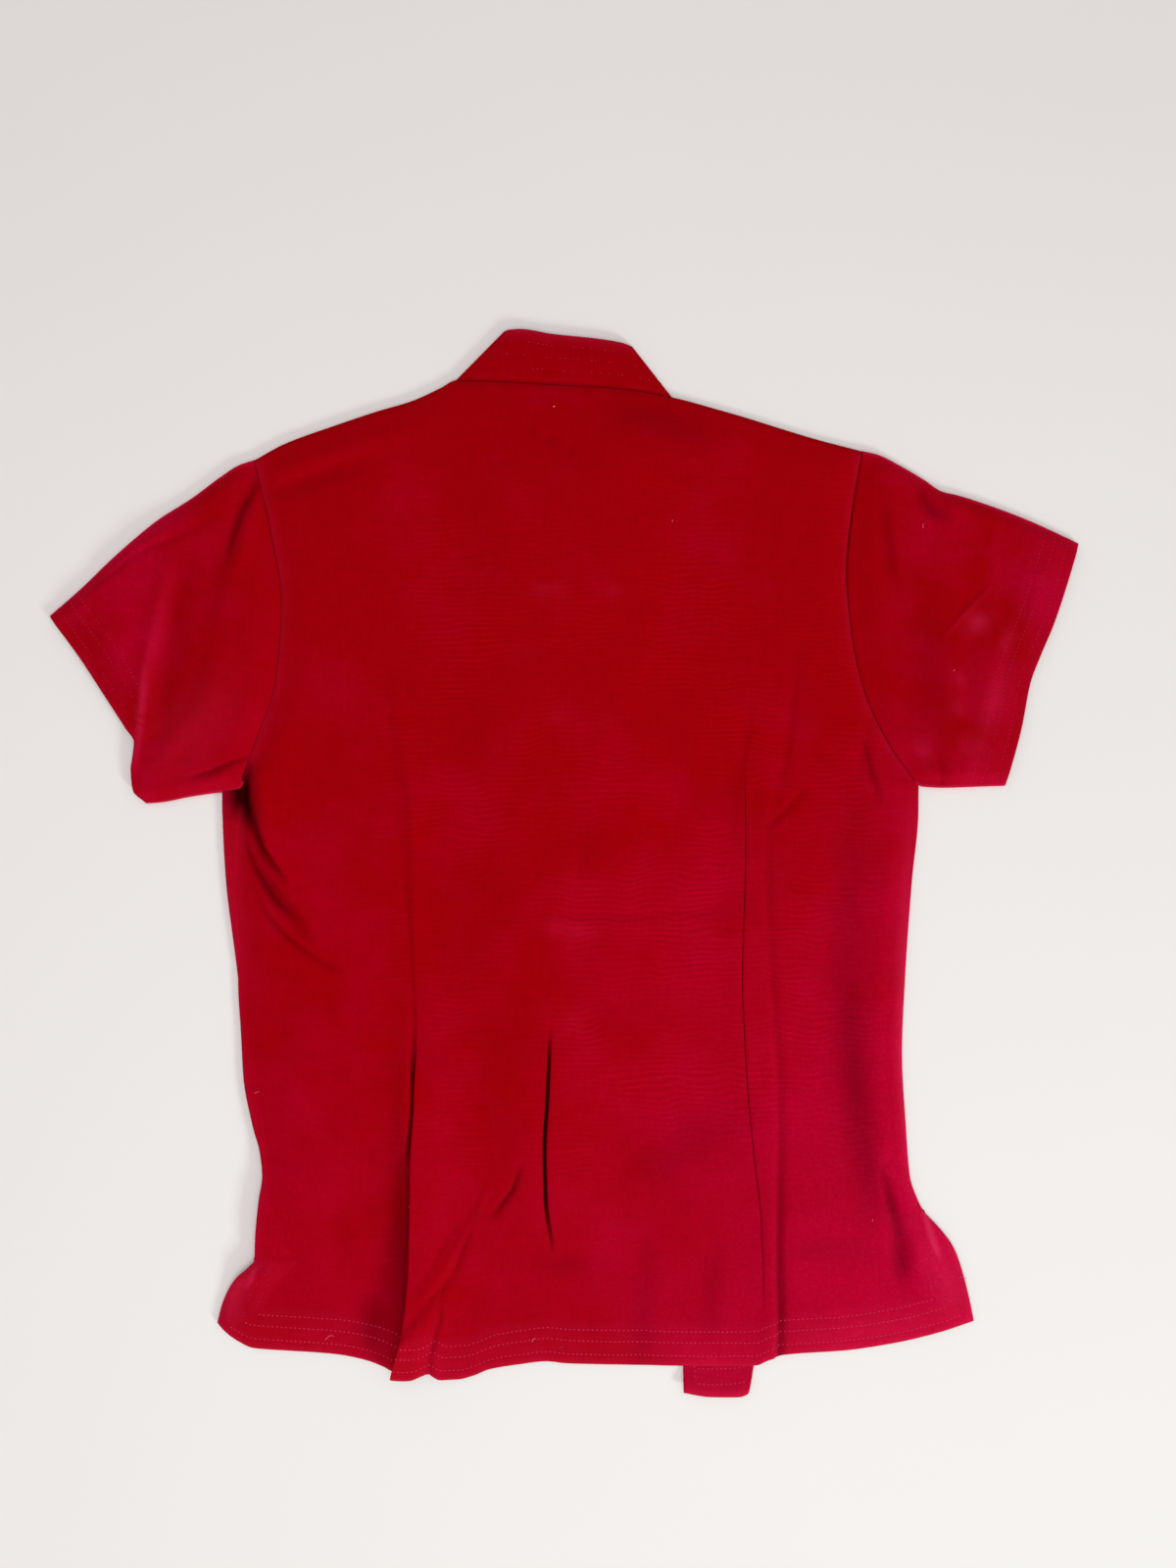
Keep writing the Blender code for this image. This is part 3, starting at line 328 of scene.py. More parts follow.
# y, share of the sideways shift, heights of the left lip, the right lip and the floor, reach left and
# right, painted shade of the floor
LEFT_DART_LAPS = (
    (-370, 1, 1.6, 8, 1, 10, 30, 0), (-331, 1, 1.6, 12, 1.2, 10, 26, 0),
    (-286, 1, 1.8, 9.5, 1.4, 10, 24, 0), (-240, 0.9, 2.2, 8, 1.6, 9, 22, 0),
    (-216, 0.9, 3, 7.4, 1, 9, 20, 0.25), (-204, 0.9, 5, 6.8, -0.6, 9, 18, 0.8),
    (-169, 1, 5.8, 6.2, -0.6, 9, 18, 0.9), (-147, 0.7, 5.2, 5.4, 0.2, 9, 18, 0.7),
    (-134, 0.4, 3.8, 4, 1.8, 9, 18, 0.3), (-112, 0.2, 3.2, 3, 2.2, 9, 18, 0.14),
    (-40, 0.1, 2.7, 2.4, 1.9, 9, 18, 0.09), (-10, 0, 2.4, 2.2, 2, 9, 18, 0.03),
    (30, 0, 2.3, 2.2, 2.1, 9, 18, 0), (84, 0, 2, 2, 2, 9, 18, 0), (161, 0, 2, 2, 2, 9, 18, 0),
)
SLIT_LAPS = (
    (-278, 0, 2, 2, 2, 30, 30, 0), (-264, 0.8, 3.2, 3.2, 1.2, 30, 30, 0.5),
    (-240, 1, 4.6, 4.6, -0.2, 30, 30, 0.85), (-190, 1, 5, 5, -0.6, 30, 30, 0.9),
    (-160, 1, 4.8, 4.8, -0.6, 30, 30, 0.9), (-140, 0.9, 4.2, 4.2, 0.2, 30, 30, 0.7),
    (-126, 0.5, 2.8, 2.8, 1.6, 30, 30, 0.3), (-115, 0, 2, 2, 2, 30, 30, 0),
)
RIGHT_DART_LAPS = (
    (-356, 0, 2, 2, 2, 8, 8, 0), (-318, 0, 2.2, 2.2, 2.2, 8, 8, 0), (-302, 1, 2.6, 2.8, 2, 8, 8, 0.3),
    (-211, 1, 2.8, 3, 1.4, 8, 8, 0.5), (-84, 1, 2.8, 3, 1.4, 8, 8, 0.5),
    (40, 1, 2.4, 2.6, 1.6, 10, 8, 0.4), (58, 0.6, 2.2, 2.4, 1.8, 10, 8, 0.25),
    (66, 0, 2, 2.2, 2.05, 12, 8, 0), (164, 0, 2, 2, 2, 14, 8, 0),
)
PLEAT_LAPS = (
    (-350, 1, 4.2, 2, 0.2, 9, 9, 0.5), (-300, 1, 4, 2, 0.2, 9, 9, 0.5),
    (-240, 1, 3.5, 2, 0.5, 9, 9, 0.40), (-205, 0.9, 3, 2, 0.9, 9, 9, 0.24),
    (-170, 0.8, 2.9, 2, 1.1, 9, 9, 0.20), (-110, 0.6, 2.7, 2, 1.2, 8, 9, 0.15),
    (-27, 0.4, 2.5, 2, 1.4, 8, 9, 0.12), (22, 0.2, 2.3, 2, 1.6, 7, 9, 0.08),
    (45, 0, 2.2, 2, 1.8, 7, 9, 0.03), (90, 0, 2, 2, 2, 7, 9, 0),
)
BACK_LAPS = (
    (LEFT_DART, LAP_SECTION, LEFT_DART_LAPS), (CENTRE_SLIT, SLIT_SECTION, SLIT_LAPS),
    (RIGHT_DART, SEWN_SECTION, RIGHT_DART_LAPS), (RIGHT_PLEAT, PLEAT_SECTION, PLEAT_LAPS),
)
# Height, half widths left and right, painted shade, then x and y along the fold from its lower end
BACK_FOLDS = (
    (5.2, 2, 15, 0, (-193, -14), (-203, -2), (-211.5, 12), (-216, 30), (-217.5, 62), (-215, 84)),
    (-4, 4, 2.6, 0.74, (-200, -10), (-208, 0), (-215, 10), (-219.5, 22), (-223, 36), (-224.5, 52),
     (-224, 66)),
    (-6, 7, 4, 1.1, (-221, 20), (-225, 34), (-227, 46), (-227, 58), (-225, 72)),
    (-4, 2.4, 5, 0.26, (-184, -52), (-195, -36.8), (-204.5, -26), (-212.7, -14), (-219.7, -2),
     (-225, 12)),
    (0, 2, 1.8, 0.7, (-189, -45), (-195, -36.8), (-204.5, -27.7), (-212.7, -15.8), (-219.7, -4.3),
     (-225, 9), (-228, 24)),
    (2.6, 5, 3, 0, (-176, -70), (-192, -52), (-206, -33), (-217, -16), (-225, 4), (-230, 22)),
    (-2.2, 2.2, 2.2, 0.32, (-160, -77), (-174.2, -69.7), (-185.9, -61.3), (-197.8, -52.2),
     (-209.2, -40.3), (-219, -26)),
    (-1.2, 6, 6, 0, (-206, 16), (-210, 60), (-212, 100)),
    (3.4, 20, 12, 0, (238, -240), (233, -180), (233, -90), (238, 0), (242, 50)),
    (-2.2, 14, 12, 0.20, (205, -206), (203, -150), (198, -90), (202, -20), (206, 60)),
    (0, 15, 10, 0.36, (216, -246), (214, -216), (210, -184), (205, -130), (201, -66)),
    (-2.2, 14, 9, 0.34, (221, -256), (218, -226), (213, -194), (208, -160)),
    (-2.6, 4.6, 3.4, 0.46, (242, -286), (239, -264), (234, -246), (226, -214)),
    (-3.2, 6.6, 4.4, 0.42, (242, -298), (241, -282), (238, -262)),
    (2, 4, 7, 0, (254, -296), (251, -270), (243, -244), (233, -218)),
    (-0.5, 9, 9, 0.14, (146, -276), (186, -273), (226, -277)),
    (-1, 10, 9, 0.16, (56, -392), (54, -330), (60, -266)),
    (-0.7, 8, 8, 0.16, (104, -336), (104, -300), (108, -268)),
    (-0.5, 9, 9, 0.12, (-16, -290), (6, -284), (24, -288)),
    (0, 20, 20, 0.18, (50, -230), (90, -196), (136, -176)),
    (1.3, 2.6, 2, 0, (-101, -309), (-93.5, -300), (-83, -286), (-72.5, -268), (-63, -252), (-52, -228)),
    (-1.1, 2, 1.8, 0.22, (-88, -306), (-77, -290), (-69, -268), (-60, -246)),
    (-0.7, 2, 2, 0.10, (-102, -302), (-90, -280), (-74, -252)),
    (-1.9, 2, 1.6, 0.46, (-52, -253), (-44.5, -244), (-36, -232), (-30, -214)),
    (2.6, 1.8, 10, 0, (-126, -378), (-118, -346), (-103, -328), (-89, -308)),
    (-1.9, 1.8, 1.2, 0.35, (-99, -376), (-93, -346), (-87, -322), (-87, -306)),
    (-1.6, 1.2, 1.2, 0.3, (-106, -306), (-94, -307), (-80, -300)),
    (0, 15, 2, 0.42, (-121, -356), (-117, -331), (-112, -286), (-110, -240), (-109, -190)),
    (0, 9, 12, 0.30, (-140, -350), (-137, -332), (-130, -306)),
    (-0.9, 14, 14, 0.06, (-196, -322), (-198, -240), (-206, -160), (-196, -80)),
    (-0.6, 4, 5, 0.08, (-112, -100), (-113.5, -14), (-117, 35), (-123, 91), (-127, 150)),
    (0.8, 3, 5, 0, (-105, -70), (-108, 35), (-116, 100)),
    (-0.9, 1.8, 2.2, 0.14, (-28, 308), (0, 295), (24, 285)),
    (-0.9, 10, 12, 0.22, (34, 324), (70, 316), (110, 304)),
    (1.5, 11, 1.6, 0, (-236, 264), (-180, 283), (-108, 305)),
    (-1.3, 1.8, 9, 0.16, (-216, 262), (-180, 275), (-140, 288)),
    (-1, 3.4, 4, 0.10, (151, 40), (160, 84), (166, 150)),
    (-1.1, 2.4, 2.4, 0.16, (145, 26), (158, 37), (173, 54)),
    (-0.9, 2.4, 2.4, 0.10, (144, 28), (139, 44), (134, 62)),
    (-0.8, 3, 3, 0, (199, 92), (181, 121)),
    (1.1, 3, 3, 0, (225, 40), (216, 72), (208, 102)),
    (-2.4, 2.6, 2.4, 0.40, (225, 44), (219, 66), (213, 92)),
    (-1.2, 3, 3, 0.16, (211, 56), (214, 80), (222, 106)),
    (-0.6, 3, 3, 0.08, (14, -20), (16, 20), (14, 44)),
    (-0.6, 3, 3.5, 0.08, (-20, -36), (40, -38), (120, -34)),
    (-0.8, 5, 4, 0.10, (121, 10), (124, 60), (134, 110)),
)
# Strength of painted highlight, half widths left and right, then x and y along the lit edge of a fold
BACK_HIGHLIGHTS = (
    (1.3, 1.6, 2.4, (268, -282), (263, -270), (257, -250)),
    (0.5, 1.4, 1.4, (-227, -303), (-223, -297), (-219, -286)),
    (0.26, 6, 6, (-236, -328), (-235, -308), (-226, -292)),
    (0.22, 10, 9, (280, -326), (274, -300), (262, -276)),
    (0.08, 12, 12, (160, -340), (210, -334), (268, -322)),
    (0.20, 6, 5, (250, -246), (242, -150), (241, -60), (248, 46)),
    (0.34, 2.6, 3, (252, -242), (246.5, -220), (243.6, -180), (241.2, -136), (243, -90), (246, -30)),
)
# Height, wavelengths across and up, phase
BACK_WAVES = ((0.22, 260, 410, 0.3), (0.18, -170, 230, 1.9), (0.12, 96, 150, 4.1), (0.10, -74, 88, 2.6))
# How near the sides the folds keep their height below the arms, and how much of it
FOLDS_AT_SIDES = 0.6
FOLDS_MARGIN = 8.0
FOLDS_AT_SIDES_TOP = 70.0
# Beside a fold's line the lip is level this far before it settles.
LIP_HALF = 4.0
# Limits of the part where the ribs show, and how far inside them the ribs fade in: left, right, low, high
RIBBED = ((-170, 90), (260, 60), (-260, 90), (350, 200))
RUB_SHARE = 0.17
# x, y, half width, half height and strength of the places that rub over the buttons underneath
RUBBED = (
    (-15, 194, 8, 5, 0.6), (-2, 193, 6, 5, 0.4), (35, 193, 6, 5, 0.5), (-4, 104, 9, 7, 0.4),
    (-6, -45, 8, 7, 0.7), (9, -47, 8, 7, 0.6), (19, -50, 6, 6, 0.3), (8, -112, 9, 7, 0.45),
    (-12, -104, 10, 7, 0.2), (8, -12, 16, 14, 0.16), (30, 100, 9, 9, 0.2), (-30, 150, 12, 8, 0.15),
)


def soft_step(share):
    """Rise from 0 to 1 that starts and ends level: 3s squared less 2s cubed."""
    share = np.clip(share, 0.0, 1.0)
    return share * share * (3.0 - 2.0 * share)


def through(places, values, at):
    """Smooth curve through known values, held level past its ends.

    Each stretch is a cubic. Its slope at a known value is the harmonic mean of the slopes on both sides,
    or nought at a peak, so that the curve never swings past its values.
    """
    places = np.asarray(places, dtype=float)
    values = np.asarray(values, dtype=float)
    step = np.diff(places)
    slope = np.diff(values) / step
    product = slope[:-1] * slope[1:]
    total = np.where(product > 0.0, slope[:-1] + slope[1:], 1.0)
    middle = np.where(product > 0.0, 2.0 * product / total, 0.0)
    tangent = np.concatenate([slope[:1], middle, slope[-1:]])
    at = np.clip(at, places[0], places[-1])
    index = np.clip(np.searchsorted(places, at) - 1, 0, len(step) - 1)
    share = (at - places[index]) / step[index]
    start = (1.0 + 2.0 * share) * (1.0 - share) ** 2 * values[index]
    end = share ** 2 * (3.0 - 2.0 * share) * values[index + 1]
    lean = share * (1.0 - share) ** 2 * tangent[index] - share ** 2 * (1.0 - share) * tangent[index + 1]
    return start + end + lean * step[index]


def line(rows, at, number=1):
    """A table's column, counted from nought, read at a place given in its first column."""
    table = np.array(rows, dtype=float)
    return through(table[:, 0], table[:, number], at)


def relief(x, y, rows):
    """Height and painted shade of soft folds at each point.

    Across its path each fold is a bell with a width of its own on either side, and along it the fold rises
    and dies away as half a sine. The left side is the one with the smaller x when the path runs upwards.
    """
    height = np.zeros_like(x)
    dark = np.zeros_like(x)
    for rise, left, right, shade, *points in rows:
        places = np.array(points, dtype=float)
        run = np.diff(places, axis=0)
        length = np.hypot(*run.T)
        start = np.cumsum(length) - length
        from_x = x[..., None] - places[:-1, 0]
        from_y = y[..., None] - places[:-1, 1]
        along = np.clip((from_x * run[:, 0] + from_y * run[:, 1]) / length ** 2, 0.0, 1.0)
        off_x = from_x - along * run[:, 0]
        off_y = from_y - along * run[:, 1]
        away = np.hypot(off_x, off_y)
        nearest = np.argmin(away, axis=-1)[..., None]
        side, away, share = (np.take_along_axis(values, nearest, axis=-1)[..., 0] for values in (
            off_x * run[:, 1] - off_y * run[:, 0], away, (start + along * length) / length.sum()))
        bell = np.exp(-(away / np.where(side > 0.0, right, left)) ** 2)
        bell *= np.sin(np.pi * (0.04 + 0.92 * share)) ** 0.7
        height += rise * bell
        dark = np.maximum(dark, shade * bell)
    return height, dark


def highlights_and_pale_patches(x, y, rows):
    """Painted highlights and pale patches at each point, along paths with the form of soft folds."""
    folds = [(strength, left, right, 0.0, *points) for strength, left, right, *points in rows]
    return relief(x, y, folds)[0]


def gathered(x, y, rows):
    """Slight unevenness all over: a sum of long waves."""
    total = np.zeros_like(x)
    for height, wave_x, wave_y, phase in rows:
        total += height * np.sin(2 * np.pi * (x / wave_x + y / wave_y) + phase)
    return total


def covered(wrap):
    """Share, from 1 to 0, to which the back rolls down over the front beside it, by the front's wrap."""
    return 1.0 - soft_step((wrap - LEAST_COVERING_WRAP) / COVERING_RAMP)


def body_edge(y, half, on_back):
    """Where the back or a front ends at one side of the body, at each height.

    Above the underarm this is the armhole's line. Below it the back stops short of the outline by the width
    of the front that wraps over there, and the front reaches the outline but for its vent.
    """
    outline = line(half["side"], y)
    wrap = line(half["side"], y, 2)
    if on_back:
        beside = outline - half["sign"] * (1.0 - covered(wrap)) * (wrap + SEAM_GAP)
        sleeve = line(half["armhole"], y, 1)
    else:
        beside = outline - half["sign"] * np.where(y < half["vent_top"], VENT_INSET, 0.0)
        sleeve = line(half["armhole"], y, 2)
    return np.where(y >= half["underarm"], sleeve, beside)


def by_side(x, what):
    """A value of the left or the right half of the body, whichever each place is in."""
    return np.where(x < 0, LEFT[what], RIGHT[what])


def strip_lift(x, y, height, half_width, low):
    """How far a strip under the cloth lifts it: full over the strip, and falling softly round it."""
    across = 1.0 - soft_step((np.abs(x) - half_width) / LIFT_RAMP)
    along = soft_step((y - low + LIFT_RAMP) / LIFT_RAMP)
    along = along * (1.0 - soft_step((y - FRONT_NECK_Y - LIFT_PAST_NECK) / LIFT_RAMP))
    return height * across * along


def button_lift(x, y):
    """How far the cloth is lifted by the row of buttons under it."""
    return strip_lift(x, y, BUTTONS_LIFT, BUTTONS_HALF, BUTTONS_LOW)


def side_lift(x, y):
    """How far the left side's fold lifts both layers off the table: a bell across the side, by height."""
    return line(LEFT_SIDE_LIFT, y) * np.exp(-((x - line(LEFT_SIDE, y)) / SIDE_LIFT_WIDTH) ** 2)


def band(distance):
    """Height, and rubbed paleness with a painted highlight, by distance from a turned and stitched edge.

    The height is a low step down at the band's depth, less a bell along each row of stitches. The paleness
    is a step there too, and a painted highlight dies away from the very edge.
    """
    height = BAND_RISE * (1.0 - soft_step((distance - BAND_DEPTH) / BAND_FALL))
    for row in HEM_ROWS:
        height = height - STITCH_DIP * np.exp(-((distance - row) / STITCH_DIP_WIDTH) ** 2)
    wear_and_highlight = BAND_WEAR * (1.0 - soft_step((distance - BAND_DEPTH) / BAND_WEAR_FADE))
    return height, wear_and_highlight + EDGE_HIGHLIGHT * np.exp(-distance / EDGE_HIGHLIGHT_FADE)


def lap(x, y, places, section, rows):
    """Change in place, height and painted shade beside a line where the cloth folds over itself.

    The section is carried along the line. Its level goes from the floor of the fold to its lip, and the lip
    settles to the height of the cloth round it within its reach.
    """
    away = x - line(places, y)
    turned, left, right, floor, reach_left, reach_right, shade = (line(rows, y, n) for n in range(1, 8))
    lip = np.where(away < 0.0, left, right)
    reach = np.where(away < 0.0, reach_left, reach_right)
    past_lip = np.maximum(np.abs(away) - LIP_HALF, 0.0)
    crest = BODY_LOFT + (lip - BODY_LOFT) * np.exp(-(past_lip / reach) ** 2)
    level = line(section, away, 2)
    return (turned * line(section, away), floor + (crest - floor) * level - BODY_LOFT,
            shade * np.clip(1.0 - level, 0.0, 1.0))


def back_surface(x, y):
    """Place, height and marks of the back's outer face over each point of its cut.

    The height is a sum of what lies under the cloth, its own loft, the folds, long waves and the stitched
    bands, less the dips at the seams. Where the cloth laps, its points shift sideways too.
    """
    sides = np.minimum(x - body_edge(y, LEFT, True), body_edge(y, RIGHT, True) - x)
    top = line(BACK_TOP, x) - y
    hem = y - line(BACK_HEM, x)
    ends = np.minimum(sides, top)
    vent = np.where(y < by_side(x, "vent_top"), sides, NOWHERE_NEAR)
    soft, deep = relief(x, y, BACK_FOLDS)
    shift = np.zeros_like(x)
    for places, section, rows in BACK_LAPS:
        moved, raised, shade = lap(x, y, places, section, rows)
        shift += moved
        soft += raised
        deep = np.maximum(deep, shade)

    # The cloth's loft, its folds and waves, which the seams hold down, and the band round its free edges
    height = BODY_LOFT * soft_step(np.minimum(ends, hem) / LOFT_MARGIN)
    hold = soft_step(ends / LOFT_MARGIN)
    at_sides = FOLDS_AT_SIDES * soft_step(sides / FOLDS_MARGIN) * (y < FOLDS_AT_SIDES_TOP)
    height += soft * np.maximum(hold, at_sides)
    height += gathered(x, y, BACK_WAVES) * hold
    band_height, wear_and_highlight = band(hem)
    vent_height, vent_wear_and_highlight = band(vent)
    height += np.where(hem < vent, band_height, vent_height)

    # The seams sink in, and at the sides the back curls down over the front's fold.
    rolls = covered(np.where(x < 0, line(LEFT_SIDE, y, 2), line(RIGHT_SIDE, y, 2)))
    on_side = (sides < top) & (y < by_side(x, "underarm"))
    dip = np.where(on_side, SIDE_SEAM_DIP * (1.0 - rolls), SEAM_DIP)
    groove = np.exp(-(ends / SEAM_DIP_WIDTH) ** 2) * dip
    curl = SIDE_CURL * (1.0 - np.sqrt(1.0 - np.clip(1.0 - sides / SIDE_CURL_WIDTH, 0.0, 1.0) ** 2))
    height -= np.where(on_side, groove + curl * rolls, groove) * (vent > VENT_REACH)
    height -= HEM_DROOP * np.exp(-(np.minimum(hem, vent) / HEM_DROOP_WIDTH) ** 2)
    z = (LAYER + CAD_WALL + height + button_lift(x, y) + side_lift(x, y)
         + strip_lift(x, y, LAYER, OVERLAP_HALF, OVERLAP_LOW))

    # Rubbed places, painted highlights on lit sides and folds, ribs in the middle of the back, and painted
    # shade at the neck and the armhole seams
    wear_and_highlight = np.maximum(wear_and_highlight, vent_wear_and_highlight) + SIDE_HIGHLIGHT * np.exp(-np.maximum(sides, 0.0) / SIDE_HIGHLIGHT_FADE)
    wear_and_highlight = wear_and_highlight + highlights_and_pale_patches(x, y, BACK_HIGHLIGHTS)
    for at_x, at_y, half_x, half_y, strength in RUBBED:
        near = np.exp(-((x - at_x) / half_x) ** 2 - ((y - at_y) / half_y) ** 2)
        wear_and_highlight = wear_and_highlight + strength * RUB_SHARE * near
    (left, left_fade), (right, right_fade), (low, low_fade), (high, high_fade) = RIBBED
    ribbed = soft_step((x - left) / left_fade) * soft_step((right - x) / right_fade)
    ribbed = ribbed * soft_step((y - low) / low_fade) * soft_step((high - y) / high_fade)
    deep = np.maximum(deep, NECK_SHADE * np.exp(-(top / NECK_SHADE_WIDTH) ** 2) * (np.abs(x) < NECK_HALF))
    dark = by_side(x, "seam_shade") * np.exp(-(sides / ARMHOLE_SHADE_WIDTH) ** 2)
    deep = np.maximum(deep, dark * (y > by_side(x, "underarm")) * (sides < top))
    points = np.stack([x + shift, y, np.maximum(z, LOWEST_BACK)], axis=-1)
    return points, {"wear_and_highlight": np.clip(wear_and_highlight, 0, 1), "deep": np.clip(deep, 0, 1), "ribbed": ribbed}


def between_levels(counts, heights):
    """Row heights that climb through the given levels in even steps."""
    rows = []
    for count, low, high in zip(counts, heights[:-1], heights[1:]):
        shares = np.linspace(0.0, 1.0, count + 1)[1:, None]
        rows.append(low + (high - low) * shares)
    return np.concatenate(rows)


# Lines up the back that its columns keep to: a side or a fold, the distance from it, and the number of
# columns from there to the next line
BACK_STATIONS = (
    (LEFT, 0.0, 3), (LEFT, 2.0, 13), (LEFT, 28.0, 34),
    (LEFT_DART, -24.0, 9), (LEFT_DART, -6.0, 14), (LEFT_DART, 8.0, 5), (LEFT_DART, 16.0, 38),
    (CENTRE_SLIT, -10.0, 3), (CENTRE_SLIT, -5.0, 12), (CENTRE_SLIT, 5.0, 3), (CENTRE_SLIT, 10.0, 30),
    (RIGHT_DART, -3.2, 10), (RIGHT_DART, 3.2, 2), (RIGHT_PLEAT, -6.0, 14), (RIGHT_PLEAT, 8.0, 22),
    (RIGHT, -28.0, 13), (RIGHT, -2.0, 3), (RIGHT, 0.0, 0),
)
BACK_ROW_COUNTS = (16, 30, 20, 80, 46)
WAIST_LEVELS = (-200.0, -90.0)
BEYOND = 400.0


def back_columns(y):
    """Places of the columns across the back, at a grid of heights with one column for each.

    Every column keeps its share of the way between the two lines on either side of it.
    """
    def place(station, at):
        """The line that a station keeps to, at each height, and its distance from it."""
        start, off = station[:2]
        return (body_edge(at, start, True) if isinstance(start, dict) else line(start, at)) + off

    made = []
    for one, two in zip(BACK_STATIONS[:-1], BACK_STATIONS[1:]):
        shares = np.arange(one[2] + (two is BACK_STATIONS[-1])) / one[2]
        at = y[:, len(made):len(made) + len(shares)] if y.ndim > 1 else y[:, None]
        made += list(((1 - shares) * place(one, at) + shares * place(two, at)).T)
    return np.stack(made, axis=-1)


far = back_columns(np.array([-BEYOND, BEYOND]))
back_hem = line(BACK_HEM, far[0])
back_top = line(BACK_TOP, far[1])
from_left = np.clip((far.mean(axis=0) - LEFT_SIDE[0][1]) / (RIGHT_SIDE[0][1] - LEFT_SIDE[0][1]), 0.0, 1.0)
from_left[0] = 0.0
from_left[-1] = 1.0
vent_level, arm_level = (LEFT[what] + (RIGHT[what] - LEFT[what]) * from_left
                         for what in ("vent_top", "underarm"))
back_rows = np.concatenate([
    back_hem + np.array(HEM_STEPS)[:, None],
    between_levels(BACK_ROW_COUNTS, (
        back_hem + HEM_STEPS[-1], vent_level, *(np.full_like(from_left, level) for level in WAIST_LEVELS),
        arm_level, back_top)),
])
back_rows = np.concatenate([back_rows[:-1], back_rows[-1:] - 1.0, back_rows[-1:]])
back_plan = back_columns(back_rows)
back_grid, back_marks = back_surface(back_plan, back_rows)
from_neck = np.abs(back_plan[-1]) - NECK_HALF
back_grid[-1, :, 2] += (1.0 - back_grid[-1, :, 2]) * soft_step((from_neck - SHOULDER_ROLL) / SHOULDER_RAMP)
back = cloth_piece("blouse_back", "back", back_grid, back_marks)

# The rows and columns of points that lie along the stitching, and the first row above the vents
HEM_LINES = [HEM_STEPS.index(row) for row in HEM_ROWS]
VENT_COLUMNS = (6, 11, 15)
VENT_ROW = len(HEM_STEPS) + BACK_ROW_COUNTS[0] - 1
STITCH_PITCH = 3.2
STITCH_LENGTH = 1.5
STITCH_RADIUS = 0.32
STITCH_SIDES = 6
TABLE_UNDER_STITCHES = -0.25
UNEVEN_PITCH = 0.15
UNEVEN_ROW = 0.12
WAVER = 0.14
WAVER_LENGTH = 17.0
# Along a stitch from -1 to 1: share of its radius, and how far it lies above the cloth
STITCH_SHAPE = ((-1.0, 0.3, -0.3), (-0.6, 1.0, 0.06), (0.6, 1.0, 0.06), (1.0, 0.3, -0.3))


def clouded_material(name, dark, light, scale, detail, **sockets):
    """A material whose colour drifts between two close tones in soft clouds."""
    material, shader = new_material(name, **sockets)
    place = add(material, "TexCoord").outputs["Object"]
    cloud = add(material, "TexNoise", {"Vector": place, "Scale": scale, "Detail": detail}).outputs[0]
    tone = add(material, "Mix", {0: cloud, 6: linear(dark), 7: linear(light)}, data_type="RGBA")
    material.node_tree.links.new(tone.outputs[2], shader.inputs["Base Color"])
    return material


def sewing_thread(name, dark, light, gloss):
    """Polyester sewing thread, dyed to match but a little rosier, spun smooth enough to catch the light."""
    return clouded_material(name, dark, light, 700.0, 2.0, Roughness=0.55, Specular_IOR_Level=gloss,
                            Specular_Tint=linear("#ff6080"))


def outward(grid):
    """Unit directions out of a grid of points: the steps across crossed with the steps up, made to point
    upwards where the grid lies high."""
    out = np.cross(np.gradient(grid, axis=1), np.gradient(grid, axis=0))
    out /= np.maximum(np.linalg.norm(out, axis=-1, keepdims=True), 1e-9)
    upper = grid[..., 2] > grid[..., 2].mean()
    return out * np.sign(out[upper][:, 2].sum())


def strands(name, points, material):
    """Short closed strands from a grid of points: by strand, by ring along it, and round the ring."""
    number = np.arange(points[..., 0].size).reshape(points.shape[:3])
    after = np.roll(number, -1, axis=2)
    sides = np.stack([number[:, :-1], after[:, :-1], after[:, 1:], number[:, 1:]], axis=-1).reshape(-1, 4)
    ends = np.concatenate([number[:, 0, ::-1], number[:, -1]])
    return mesh_piece(name, points.reshape(-1, 3), [sides, ends], material)


